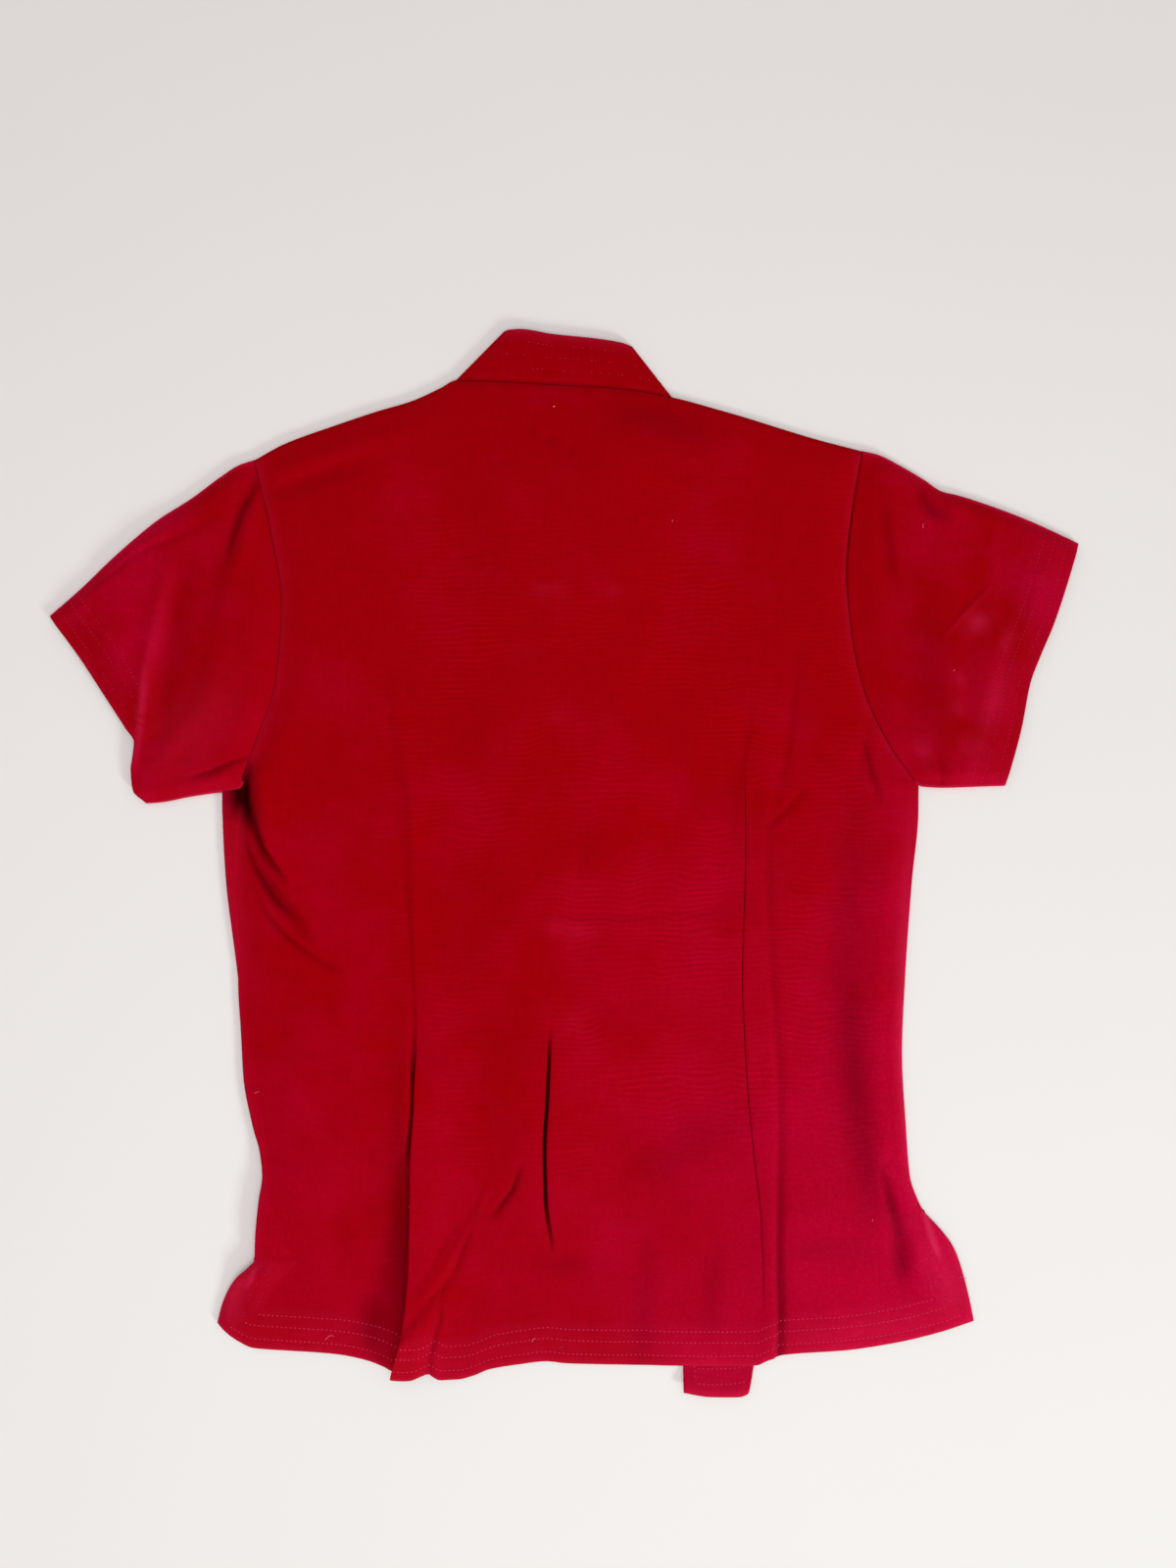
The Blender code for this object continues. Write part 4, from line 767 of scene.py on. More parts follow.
def stitches(name, runs, thread, pulled=0.0):
    """Rows of stitches along runs of points, each with its directions out of the cloth.

    Every stitch is a short bar along its run, with rings of points round it and its ends sunk in the cloth,
    and those underneath are pressed flat on the table. The rows waver slightly and lie deeper in places,
    the more so the tighter the thread is pulled.
    """
    random = np.random.default_rng(len(name))
    spots, alongs, outs = [], [], []
    for points, out in runs:
        length = np.concatenate([[0.0], np.cumsum(np.linalg.norm(np.diff(points, axis=0), axis=1))])
        at = np.arange(STITCH_PITCH, length[-1] - STITCH_PITCH / 2, STITCH_PITCH)
        at = at + random.uniform(-UNEVEN_PITCH, UNEVEN_PITCH, len(at))

        def read(values, places):
            """Values at lengths along the run, each in proportion between its two neighbours."""
            return np.stack([np.interp(places, length, values[:, axis]) for axis in range(3)], axis=-1)

        sunk = WAVER * np.sin(at / WAVER_LENGTH + random.uniform(0, 6))
        sunk = sunk + random.uniform(-0.1 - pulled, 0.05, len(at))
        spots.append(read(points, at) + read(out, at) * sunk[:, None])
        alongs.append(read(points, at + STITCH_LENGTH / 2) - read(points, at - STITCH_LENGTH / 2))
        outs.append(read(out, at))
    spot, along, out = (np.concatenate(values) for values in (spots, alongs, outs))
    along /= np.linalg.norm(along, axis=1, keepdims=True)
    aside = np.cross(along, out)
    aside /= np.linalg.norm(aside, axis=1, keepdims=True)
    out = np.cross(aside, along)
    spot = spot + aside * random.uniform(-UNEVEN_ROW, UNEVEN_ROW, (len(spot), 1))
    shape = np.array(STITCH_SHAPE)
    turn = np.linspace(0.0, 2 * np.pi, STITCH_SIDES, endpoint=False)
    ring = (np.cos(turn)[:, None, None] * aside + np.sin(turn)[:, None, None] * out) * STITCH_RADIUS
    middle = spot + shape[:, :1, None] * along * STITCH_LENGTH / 2 + shape[:, 2:, None] * out
    points = (middle[:, None] + shape[:, 1, None, None, None] * ring).transpose(2, 0, 1, 3)
    points[..., 2] = np.maximum(points[..., 2], TABLE_UNDER_STITCHES)
    return strands(name, points, thread)


def along_grid(grid, rows, columns):
    """A run over a grid's points at lists of rows and columns."""
    return grid[rows, columns], outward(grid)[rows, columns]


hem_thread = sewing_thread("rosy_sewing_thread", "#cc204c", "#e64a70", 0.2)
matching_thread = sewing_thread("matching_sewing_thread", "#b00a38", "#cc2450", 0.15)
last = back_grid.shape[1] - 1
hem_runs, vent_runs = [], []
for row, column in zip(HEM_LINES, VENT_COLUMNS):
    flat = np.arange(column, last - column + 1)
    hem_runs.append(along_grid(back_grid, np.full(len(flat), row), flat))
    up = np.arange(row, VENT_ROW)
    for beside in (column, last - column):
        vent_runs.append(along_grid(back_grid, up, np.full(len(up), beside)))
hem_stitches = stitches("back_hem_stitches", hem_runs, hem_thread)
vent_stitches = stitches("back_vent_stitches", vent_runs, matching_thread, 0.5)

# The fronts: two plain panels that lie on the table under the back, the wearer's right one outermost. At
# the sides each rolls over onto the back to its side seam, and below the last button they swing apart.
FOLD_RADIUS = 1.5
TURNS = np.radians((90.0, 68.0, 45.0, 22.0, 0.0, -22.0, -45.0, -68.0, -90.0))
UNROLLED_EDGE = 1.5
ROLL_RAMP = 9.0
LEAST_WRAP = FOLD_RADIUS + 0.4
FRONT_TUCK = 0.9
FRONT_TUCKED_HEIGHT = 0.62
UNDER_STEP = 30.0
UNDER_RAMP = 24.0
SHOULDER_INSET = 3.2
SHOULDER_POINTS = 6
NECK_POINTS = 7
STRIP_COLUMNS = 5
FRONT_COLUMNS = 84
FRONT_ROW_COUNTS = (18, 96, 44)
VENT_POINTS = 40
HEM_POINTS = 120
FREE_EDGE_POINTS = 300
CORNER_CURL = 3.2
CORNER_Y = -359.0
CORNER_RAMP = 20.0
# The fronts are a little rosier all over, with a painted highlight along the lit fold at their sides
FRONT_WEAR = 0.06
FOLD_HIGHLIGHT = 0.12
FOLD_HIGHLIGHT_FADE = 5.0
# Where the left front's fold lies in the shade of the arm: from what height, level and place, and how deep
SHADED_Y = (24.0, 22.0)
SHADED_X = (-243.0, 11.0)
SHADED_Z = 1.0
OUTER_SHADE = 0.35
# y, x of the free edges from the hem up, and x, y of the hems
LEFT_FREE_EDGE = ((-349, -25), (-112, STAND_HALF), (FRONT_NECK_Y, STAND_HALF))
RIGHT_FREE_EDGE = (
    (-378.2, 85.4), (-354, 85.2), (-320, 66), (-112, -STAND_HALF), (FRONT_NECK_Y, -STAND_HALF),
)
LEFT_FRONT_HEM = ((-244, -323), (-230, -335), (-200, -342), (-150, -346), (-110, -356), (-25, -349))
RIGHT_FRONT_HEM = (
    (85.4, -378.2), (104, -380.4), (124, -379.8), (131.5, -377), (134.5, -366), (137.5, -352),
    (150, -346), (200, -342), (240, -336), (275, -325), (289, -321),
)
LEFT_HEM_STATIONS = np.linspace(
    LEFT_FRONT_HEM[0][0], LEFT_FRONT_HEM[-1][0], SHOULDER_POINTS + NECK_POINTS)
RIGHT_HEM_STATIONS = np.array(
    (289.0, 264.0, 236.0, 206.0, 178.0, 150.0, 137.5, 134.5, 131.5, 124.0, 111.0, 97.0, 85.4))
# Where each hem's stitching shows, from x to x
LEFT_HEM_STITCHED = ((-218.0, -25.0),)
RIGHT_HEM_STITCHED = ((85.4, 130.0), (138.5, 262.0))
# Control points of the neck, from the shoulder to the middle: x, y
LEFT_NECK = ((-NECK_HALF, 345), (-69, 300), (-45, FRONT_NECK_Y), (0, FRONT_NECK_Y))
RIGHT_NECK = ((NECK_HALF, 332.7), (69, 295), (45, FRONT_NECK_Y), (0, FRONT_NECK_Y))


def bezier(controls, shares):
    """Points on the cubic curve that four control points pull."""
    first, second, third, last = (np.array(point, dtype=float) for point in controls)
    share = np.asarray(shares)[..., None]
    rest = 1.0 - share
    return (rest ** 3 * first + 3 * rest ** 2 * share * second
            + 3 * rest * share ** 2 * third + share ** 3 * last)


def curve(stations, points, at):
    """Points of a smooth curve through known points, each at its own station."""
    return np.stack([through(stations, points[:, 0], at), through(stations, points[:, 1], at)], axis=-1)


def patch(low, high, left, right, u, v):
    """Points inside four edges, each a function of a share, at grids of shares across and up.

    Each point blends the lower and upper edges by its share upwards, and the left and right edges by its
    share across, less the blend of the four corners, so all four edges are met.
    """
    across = u[..., None]
    up = v[..., None]
    ends = np.array([0.0, 1.0])
    between_rows = (1 - up) * low(u) + up * high(u)
    between_sides = (1 - across) * left(v) + across * right(v)
    corners = ((1 - up) * ((1 - across) * low(ends)[0] + across * low(ends)[1])
               + up * ((1 - across) * high(ends)[0] + across * high(ends)[1]))
    return between_rows + between_sides - corners


def front_level(x, y, sign):
    """How high a front's outer face lies above the table: what the buttons, the curl of the hem's corner
    and, on the left, the side's fold and the right front under it add up to."""
    level = button_lift(x, y) + CORNER_CURL * soft_step((CORNER_Y - y) / CORNER_RAMP)
    if sign < 0:
        over = soft_step((x - line(RIGHT_FREE_EDGE, y) + UNDER_STEP) / UNDER_RAMP)
        level = level + side_lift(x, y) + LAYER * over
    return level


def front_surface(half, hem, hem_stations, free_edge, neck_controls):
    """Places and marks of a front's outer face.

    It is a patch between the hem, the shoulder and neck, the side and the free edge, with a strip at the
    side that turns up round a fold.
    """
    sign, low_y, shoulder_y = half["sign"], half["side"][0][0], half["armhole"][-1][0] - SHOULDER_INSET
    levels = np.array((low_y, half["vent_top"], half["underarm"], shoulder_y))[:, None]
    y = np.concatenate([levels[0], between_levels(FRONT_ROW_COUNTS, levels)[:, 0]])
    shares = (y - y[0]) / (y[-1] - y[0])
    edge = body_edge(y, half, False)
    hidden = covered(line(half["side"], y, 2))
    wrap = np.maximum(line(half["side"], y, 2), LEAST_WRAP)
    rolled = soft_step((y - half["vent_top"] + 1.0) / ROLL_RAMP) * soft_step((half["underarm"] - y) / 3.0)
    tuck = FRONT_TUCK * hidden
    lowered = rolled * (1.0 - (1.0 - FRONT_TUCKED_HEIGHT) * hidden)

    # The upper edge runs along the shoulder and round the neck, just inside their seams.
    neck = bezier(neck_controls, np.linspace(0.0, 1.0, NECK_POINTS))
    off_neck = np.gradient(neck, axis=0)
    off_neck = np.stack([-off_neck[:, 1], off_neck[:, 0]], axis=-1) * sign
    neck += SEAM_GAP * off_neck / np.linalg.norm(off_neck, axis=1)[:, None]
    neck[0] += (sign * SEAM_GAP, -SHOULDER_INSET)
    inner = edge - sign * FOLD_RADIUS
    shoulder_x = np.linspace(inner[-1], neck[0, 0], SHOULDER_POINTS)
    shoulder = np.stack([shoulder_x, line(BACK_TOP, shoulder_x) - SHOULDER_INSET], axis=-1)
    shoulder[0] = (inner[-1], y[-1])
    top = np.concatenate([shoulder[:-1], neck, [[free_edge[-1][1], FRONT_NECK_Y - SEAM_GAP]]])
    stations = np.linspace(0.0, 1.0, len(top))
    low_end = line(hem, hem_stations[-1])

    # The four edges by shares: the upper one and the hem across, the side's fold and the free edge upwards
    def high(u):
        return curve(stations, top, u)

    def low(u):
        x = through(stations, hem_stations, u)
        return np.stack([x, line(hem, x)], axis=-1)

    def outer(v):
        return np.stack([np.interp(v, shares, inner), y[0] + (y[-1] - y[0]) * v], axis=-1)

    def free(v):
        height = low_end + (top[-1, 1] - low_end) * v
        return np.stack([line(free_edge, height), height], axis=-1)

    u, v = np.meshgrid(np.linspace(0.0, 1.0, FRONT_COLUMNS), shares)
    plan = patch(low, high, outer, free, u, v)
    body = np.concatenate([plan, front_level(plan[..., 0], plan[..., 1], sign)[..., None]], axis=-1)

    # The strip's columns: how far in from the edge, how high, and how far in where it lies flat
    columns = []
    for share in np.linspace(0.0, 1.0, STRIP_COLUMNS)[:-1]:
        height = 2 * FOLD_RADIUS - SIDE_SEAM_DIP * (1.0 - soft_step(share * 3.0))
        columns.append((wrap + (FOLD_RADIUS - wrap) * share, height, 0.1 * share))
    for number, turn in enumerate(TURNS[:-1]):
        columns.append((FOLD_RADIUS * (1 - np.cos(turn)), FOLD_RADIUS * (1 + np.sin(turn)),
                        UNROLLED_EDGE * (number + 1) / len(TURNS)))
    turned = []
    for away, height, flat in columns:
        away = away + tuck * np.clip(1.0 - away / FOLD_RADIUS, 0.0, 1.0)
        place = edge - sign * (rolled * away + (1.0 - rolled) * flat)
        stands = side_lift(place, plan[:, 0, 1]) if sign < 0 else 0.0
        turned.append(np.stack([place, plan[:, 0, 1], lowered * height + stands], axis=-1))
    grid = np.concatenate([np.stack(turned, axis=1), body], axis=1)
    hem_wear_and_highlight = band(np.maximum(grid[..., 1] - line(hem, grid[..., 0]), 0.0))[1]
    fold_highlight = FOLD_HIGHLIGHT * np.exp(-np.abs(grid[..., 0] - edge[:, None]) / FOLD_HIGHLIGHT_FADE)
    return grid, {"wear_and_highlight": np.clip(FRONT_WEAR + hem_wear_and_highlight + fold_highlight, 0, 1), "ribbed": 0.0, "deep": 0.0}


left_front_grid, left_front_marks = front_surface(
    LEFT, LEFT_FRONT_HEM, LEFT_HEM_STATIONS, LEFT_FREE_EDGE, LEFT_NECK)
right_front_grid, right_front_marks = front_surface(
    RIGHT, RIGHT_FRONT_HEM, RIGHT_HEM_STATIONS, RIGHT_FREE_EDGE, RIGHT_NECK)
fold_x, fold_y, fold_z = np.moveaxis(left_front_grid, -1, 0)
# Painted shade on the left front's fold, where the arm shades it
inner_shade = (1.0 - OUTER_SHADE) * soft_step((fold_x - SHADED_X[0]) / SHADED_X[1])
left_front_marks["deep"] = (soft_step((fold_y - SHADED_Y[0]) / SHADED_Y[1]) * (fold_z > SHADED_Z)
                            * (OUTER_SHADE + inner_shade))
front_left = cloth_piece("blouse_front_left", "front_left", left_front_grid, left_front_marks,
                         upside_down=True)
front_right = cloth_piece("blouse_front_right", "front_right", right_front_grid, right_front_marks)


def front_runs(half, hem_parts, hem, free_edge, inner_from):
    """Stitching down a front's vent, along its hem and up its free edge, on its outer face and, below the
    height inner_from, on its inner face too."""
    sign = half["sign"]
    paths = []
    for row in HEM_ROWS:
        y = np.linspace(half["vent_top"], line(hem, hem_parts[-1][1]) + row, VENT_POINTS)
        paths.append((body_edge(y, half, False) - sign * row, y))
        for start, end in hem_parts:
            if sign > 0:
                start = max(start, free_edge[0][1] + HEM_ROWS[0])
            else:
                end = min(end, free_edge[0][1] - HEM_ROWS[0])
            x = np.linspace(start, end, HEM_POINTS)
            paths.append((x, line(hem, x) + row))
    y = np.linspace(free_edge[0][0] + HEM_ROWS[0], FRONT_NECK_Y - HEM_ROWS[0], FREE_EDGE_POINTS)
    paths.append((line(free_edge, y) + sign * HEM_ROWS[0], y))
    runs = []
    for x, y in paths:
        outer = np.stack([x, y, front_level(x, y, sign)], axis=-1)
        down = np.broadcast_to((0.0, 0.0, -1.0), outer.shape)
        runs.append((outer, down))
        shown = y < inner_from
        if shown.sum() > 2:
            runs.append((outer[shown] + (0.0, 0.0, CLOTH_WALL), -down[shown]))
    return runs


left_front_stitches = stitches("front_left_stitches", front_runs(
    LEFT, LEFT_HEM_STITCHED, LEFT_FRONT_HEM, LEFT_FREE_EDGE, -BEYOND), hem_thread)
right_front_stitches = stitches("front_right_stitches", front_runs(
    RIGHT, RIGHT_HEM_STITCHED, RIGHT_FRONT_HEM, RIGHT_FREE_EDGE, -346.0), hem_thread)

# The sleeves: short set-in tubes pressed flat, each seamed under the arm and turned up at a stitched cuff.
# The left one has slumped into a long roll over its cuff, and its lower edge puffs out past the stitching.
SLEEVE_LOFT = 3.0
LOFT_AT_CUFF = 0.35
CUFF_RAMP = 26.0
EDGE_RAMP = 11.0
SEAM_RAMP = 9.0
PRESSED_EDGE = 6.0
STITCHED_FADE = 0.03
CUFF_RISE = 0.45
DEEPEST = -1.2
# A painted highlight along the sleeves' folded edges; the layer beneath is a little rosier
EDGE_FOLD_HIGHLIGHT = 0.10
EDGE_FOLD_FADE = 4.0
FOLDED_HIGHLIGHT = 0.3
BENEATH_WEAR = 0.1
SLEEVE_ROWS = 84
UPPER_COLUMNS = 92
LOWER_COLUMNS = 26
CUFF_STEPS = np.array(HEM_STEPS[::-1])
# x, y
LEFT_SLEEVE_TOP = (
    (-221.9, 288.4), (-233.4, 284.4), (-244.6, 277.2), (-267, 260.6), (-289.4, 246.3), (-300.6, 237.6),
    (-323, 218), (-345.4, 196.3), (-367.8, 176.6),
)
LEFT_CUFF = (
    (-367.8, 176.6), (-346, 147), (-328, 119.5), (-312.4, 95.4), (-306.4, 86.4), (-307.4, 77),
    (-309, 66), (-307.6, 52), (-298.5, 42.4),
)
LEFT_UNDERARM = (
    (-228.5, 57), (-231, 52.6), (-238, 50.6), (-245, 50.2), (-267, 47.2), (-289.4, 43), (-298.5, 42.4),
)
RIGHT_SLEEVE_TOP = (
    (213.5, 294.8), (224, 292.4), (242.5, 283.2), (258, 273.9), (270.5, 265.8), (281.8, 263),
    (304, 255.8), (326.5, 247.4), (349, 237.5), (367.8, 228.5),
)
RIGHT_CUFF = (
    (367.8, 228.5), (358.9, 198), (349.7, 170.5), (339.2, 145.6), (332.9, 128.5), (326.6, 96),
    (315.3, 55),
)
RIGHT_UNDERARM = ((251.2, 57), (256.5, 54.4), (271, 53.6), (296.5, 54.4), (315.3, 55))
# y, x of the seam's lowest end, which runs on past the armhole
LEFT_SEAM_END = ((57, -228.5), (62, -229.9))
RIGHT_SEAM_END = ((57, 251.2), (58, 251.2))
# Height, half widths left and right, painted shade, then x and y along the fold
LEFT_SLEEVE_FOLDS = (
    (-3.6, 5, 2.2, 0.46, (-242, 214), (-238, 226), (-233, 240), (-228, 254), (-219, 270), (-208, 286)),
    (-1.2, 10, 7, 0.12, (-254, 160), (-250, 188), (-243, 216), (-236, 240)),
    (1.4, 3, 6, 0, (-236, 204), (-228, 230), (-220, 256)),
    (-1, 1.4, 3, 0.12, (-350, 186), (-321, 208), (-305, 221), (-292, 226.5), (-271, 235), (-243, 250)),
    (0.9, 5, 1.6, 0, (-344, 196), (-318, 214), (-300, 227), (-268, 240)),
    (1.9, 7, 4.6, 0, (-309, 70), (-302, 100), (-299, 130), (-294.4, 156.5), (-287.4, 187), (-280, 222)),
    (-2, 7, 16, 0.16, (-288, 80), (-283, 130), (-276, 176), (-268, 222)),
    (-2, 1.8, 2, 0.38, (-268, 60), (-249.5, 65.5), (-235.5, 72.5), (-220, 76)),
    (0.7, 3, 3, 0, (-238, 54), (-233, 58), (-229, 66)),
    (1.4, 5, 5, 0, (-262, 55), (-246, 60), (-230, 66)),
    (1.4, 8, 10, 0, (-298, 58), (-262, 108), (-244, 150)),
    (-0.8, 10, 10, 0.06, (-272, 60), (-262, 130), (-262, 190)),
    (0.9, 12, 12, 0, (-330, 150), (-312, 178), (-300, 200)),
    (0, 10, 14, 0.10, (-352, 182), (-338, 160), (-322, 134), (-310, 108)),
)
RIGHT_SLEEVE_FOLDS = (
    (-2.4, 5.4, 4.2, 0.34, (273, 247), (263, 252), (257, 259), (253, 269)),
    (1.6, 6, 6, 0, (286, 248), (276, 256), (268, 268)),
    (-2, 5, 4, 0.16, (235, 200), (230.5, 232), (225, 266)),
    (1.2, 1.3, 1.3, 0, (269, 160), (287, 179), (305, 198)),
    (-1.3, 2.8, 4, 0.12, (271, 50), (268, 70), (262, 90)),
    (0.6, 12, 12, 0, (262, 116), (268, 160), (262, 220)),
    (-1, 9, 9, 0.08, (290, 80), (290, 140), (300, 200)),
    (-0.8, 18, 16, 0.16, (262, 64), (264, 110), (262, 150), (258, 200)),
    (0, 16, 14, 0.10, (322, 150), (330, 180), (342, 226)),
    (-0.9, 8, 6, 0.08, (240, 130), (246, 100), (254, 70)),
    (-0.5, 3, 3, 0.05, (296, 62), (308, 110), (322, 160), (340, 228)),
)
# Strength of the painted highlights on lit ridges and of the pale patches, half widths left and right, then
# x and y along the place
LEFT_SLEEVE_HIGHLIGHTS_AND_PATCHES = (
    (0.38, 2, 2.4, (-307, 66), (-303, 92), (-299.5, 118), (-298, 140)),
    (0.12, 3, 7, (-300, 112), (-296, 140), (-291, 164), (-284, 200)),
    (0.12, 1.2, 1.2, (-344, 190), (-321, 210), (-302, 223)),
    (0.12, 20, 20, (-292, 60), (-262, 100), (-240, 130)),
)
RIGHT_SLEEVE_HIGHLIGHTS_AND_PATCHES = (
    (0.18, 0.8, 0.8, (269, 160), (287, 179), (305, 198)),
    (0.36, 7, 7, (288, 167), (302, 176)),
    (0.16, 5, 5, (312, 150), (318, 166)),
    (0.18, 7, 8, (300, 96), (306, 118), (312, 136)),
    (0.16, 6, 6, (278, 128), (286, 134)),
    (0.14, 6, 6, (276, 108), (284, 114)),
    (0.16, 9, 9, (250, 78), (262, 84)),
    (0.12, 10, 10, (286, 74), (296, 92)),
)
# Share of the way round the cuff to which its stitching shows on top, and how worn its band is
LEFT_BAND = (0.70, 0.3)
RIGHT_BAND = (1.1, 0.5)


def path(rows, shares):
    """Points at shares of the length of a smooth path through x, y rows."""
    points = np.array(rows, dtype=float)
    length = np.concatenate([[0.0], np.cumsum(np.hypot(*np.diff(points, axis=0).T))])
    return curve(length, points, np.asarray(shares) * length[-1])


def round_fold(edge, inward, angles):
    """Columns that turn round a fold, from the points of its edge and its way in at each angle.

    Each goes in by the radius less its cosine part, and up by the radius and its sine part.
    """
    points = []
    for angle in angles:
        plan = edge[:, :2] + inward(angle) * FOLD_RADIUS * (1 - np.cos(angle))
        height = np.full((len(plan), 1), FOLD_RADIUS * (1 + np.sin(angle)))
        points.append(np.concatenate([plan, height], axis=1))
    return np.stack(points, axis=1)


def sleeve_surface(half, edges, seam_end, folds, lighter_places, cuff_band):
    """Rings of points round a flattened sleeve, from the armhole seam to the cuff.

    Its upper and lower layers are patches between the armhole, the cuff and the two folded edges, and half
    turns join them. Columns near the cuff keep an even distance from it.
    """
    armhole, tip, underarm = half["armhole"], half["armhole"][-1][0], seam_end[0][0]
    band_end, band_shine = cuff_band

    # The upper fold, the cuff and the lower fold, each by shares of its own length
    def top(u):
        return path(edges[0], u)

    def cuff(v):
        return path(edges[1], v)

    def low(u):
        return path(edges[2], u)

    def layer(number, columns):
        """A layer's points, their shares along and around, and how far they are from the cuff."""
        def arm(v):
            """The armhole by shares of its height, and beyond the underarm the end of the sleeve's seam."""
            y = tip + (underarm - tip) * v
            seam = line(armhole, y, number) + half["sign"] * SEAM_GAP
            return np.stack([np.where(y < half["underarm"], line(seam_end, y), seam), y], axis=-1)

        round_half = np.linspace(0.0, 1.0, columns)
        reach = np.linalg.norm(arm(round_half) - cuff(round_half), axis=-1)[None]
        along = np.linspace(0.0, 1.0, SLEEVE_ROWS)[:-1, None] * (1.0 - CUFF_STEPS[0] / reach)
        along = np.concatenate([along, 1.0 - CUFF_STEPS[:, None] / reach])
        around = np.broadcast_to(round_half, along.shape)
        return patch(top, low, arm, cuff, along, around), along, around, (1.0 - along) * reach

    def turn(edge, inner, angles):
        """Half a turn round a folded edge, with its way in pointing at the next column."""
        inward = inner - edge
        inward /= np.linalg.norm(inward, axis=1)[:, None]
        return round_fold(edge, lambda angle: inward, angles)

    upper, along, around, away = layer(1, UPPER_COLUMNS)
    lower = layer(2, LOWER_COLUMNS)[0]
    x, y = upper[..., 0], upper[..., 1]
    soft, deep = relief(x, y, folds)
    width = np.linalg.norm(upper[:, -1] - upper[:, 0], axis=-1)[:, None]
    from_edge = np.minimum(around, 1.0 - around) * width
    from_seam = along * np.linalg.norm(upper[0] - upper[-1], axis=-1)[None]
    full = LOFT_AT_CUFF + (1.0 - LOFT_AT_CUFF) * soft_step(away / CUFF_RAMP)
    ends = soft_step(from_seam / LOFT_MARGIN) * full
    z = SLEEVE_LOFT * ends * soft_step(from_edge / EDGE_RAMP) + soft * soft_step(from_seam / SEAM_RAMP)
    z = z + gathered(x, y, BACK_WAVES)
    stitched = soft_step((band_end - around) / STITCHED_FADE)
    band_height, band_wear_and_highlight = band(away)
    z = (z + CUFF_RISE * band_height * stitched) * soft_step(from_edge / PRESSED_EDGE)
    z = z - SEAM_DIP * np.exp(-(from_seam / SEAM_DIP_WIDTH) ** 2)
    z = 2 * FOLD_RADIUS + np.maximum(z, DEEPEST)
    # The cuff band's paleness, painted highlights along the folded edges and lit ridges, and painted shade
    # at the armhole seam
    wear_and_highlight = band_shine * band_wear_and_highlight * stitched + EDGE_FOLD_HIGHLIGHT * np.exp(-from_edge / EDGE_FOLD_FADE)
    wear_and_highlight = wear_and_highlight + highlights_and_pale_patches(x, y, lighter_places)
    deep = np.maximum(deep, half["seam_shade"] * np.exp(-(from_seam / ARMHOLE_SHADE_WIDTH) ** 2))
    raised = np.concatenate([upper, z[..., None]], axis=-1)[:, 1:-1]
    beneath = np.concatenate([lower, np.zeros_like(lower[..., :1])], axis=-1)[:, -2:0:-1]
    head = turn(upper[:, 0], upper[:, 1], TURNS[::-1])
    tail = turn(upper[:, -1], upper[:, -2], TURNS)

    def round_ring(values, at_folds, beneath_value):
        """A mark right round the sleeve: its own values on top, and one each at the folds and beneath."""
        fold = np.full((len(values), len(TURNS)), at_folds)
        return np.concatenate([fold, values[:, 1:-1], fold,
                               np.full((len(values), LOWER_COLUMNS - 2), beneath_value)], axis=1)

    return np.concatenate([head, raised, tail, beneath], axis=1), {
        "wear_and_highlight": round_ring(np.clip(wear_and_highlight, 0, 1), FOLDED_HIGHLIGHT, BENEATH_WEAR),
        "deep": round_ring(deep, 0.0, 0.0), "ribbed": 0.0}


left_sleeve_grid, left_sleeve_marks = sleeve_surface(
    LEFT, (LEFT_SLEEVE_TOP, LEFT_CUFF, LEFT_UNDERARM), LEFT_SEAM_END, LEFT_SLEEVE_FOLDS, LEFT_SLEEVE_HIGHLIGHTS_AND_PATCHES,
    LEFT_BAND)
right_sleeve_grid, right_sleeve_marks = sleeve_surface(
    RIGHT, (RIGHT_SLEEVE_TOP, RIGHT_CUFF, RIGHT_UNDERARM), RIGHT_SEAM_END, RIGHT_SLEEVE_FOLDS,
    RIGHT_SLEEVE_HIGHLIGHTS_AND_PATCHES, RIGHT_BAND)
sleeve_left = cloth_piece("blouse_sleeve_left", "sleeve_left", left_sleeve_grid, left_sleeve_marks,
                          ring=True, upside_down=True)
sleeve_right = cloth_piece("blouse_sleeve_right", "sleeve_right", right_sleeve_grid, right_sleeve_marks,
                           ring=True)
# Columns round the upper layer with both folds, and the last one that shows stitches on the left sleeve
UPPER_AND_FOLDS = 2 * len(TURNS) + UPPER_COLUMNS - 2
LEFT_STITCHED = 57


def cuff_runs(grid, last_shown):
    """Stitching round a cuff, up to the last column that carries it on the upper layer."""
    round_cuff = np.concatenate([np.arange(UPPER_AND_FOLDS, grid.shape[1]), np.arange(last_shown)])
    return [along_grid(grid, -1 - row, round_cuff) for row in HEM_LINES]


left_cuff_stitches = stitches(
    "left_cuff_stitches", cuff_runs(left_sleeve_grid, LEFT_STITCHED), matching_thread, 0.25)
right_cuff_stitches = stitches(
    "right_cuff_stitches", cuff_runs(right_sleeve_grid, UPPER_AND_FOLDS), matching_thread, 0.2)

# Loose fibres: a tailor's tack left at the neck, a few bits of lint, and the cut end of the sewing thread
# at the right vent. Each is a short bent strand of spun fibre that clings to the cloth.
FIBRE_SIDES = 5
FIBRE_POINTS = 9
FIBRE_SEARCH = 4.0
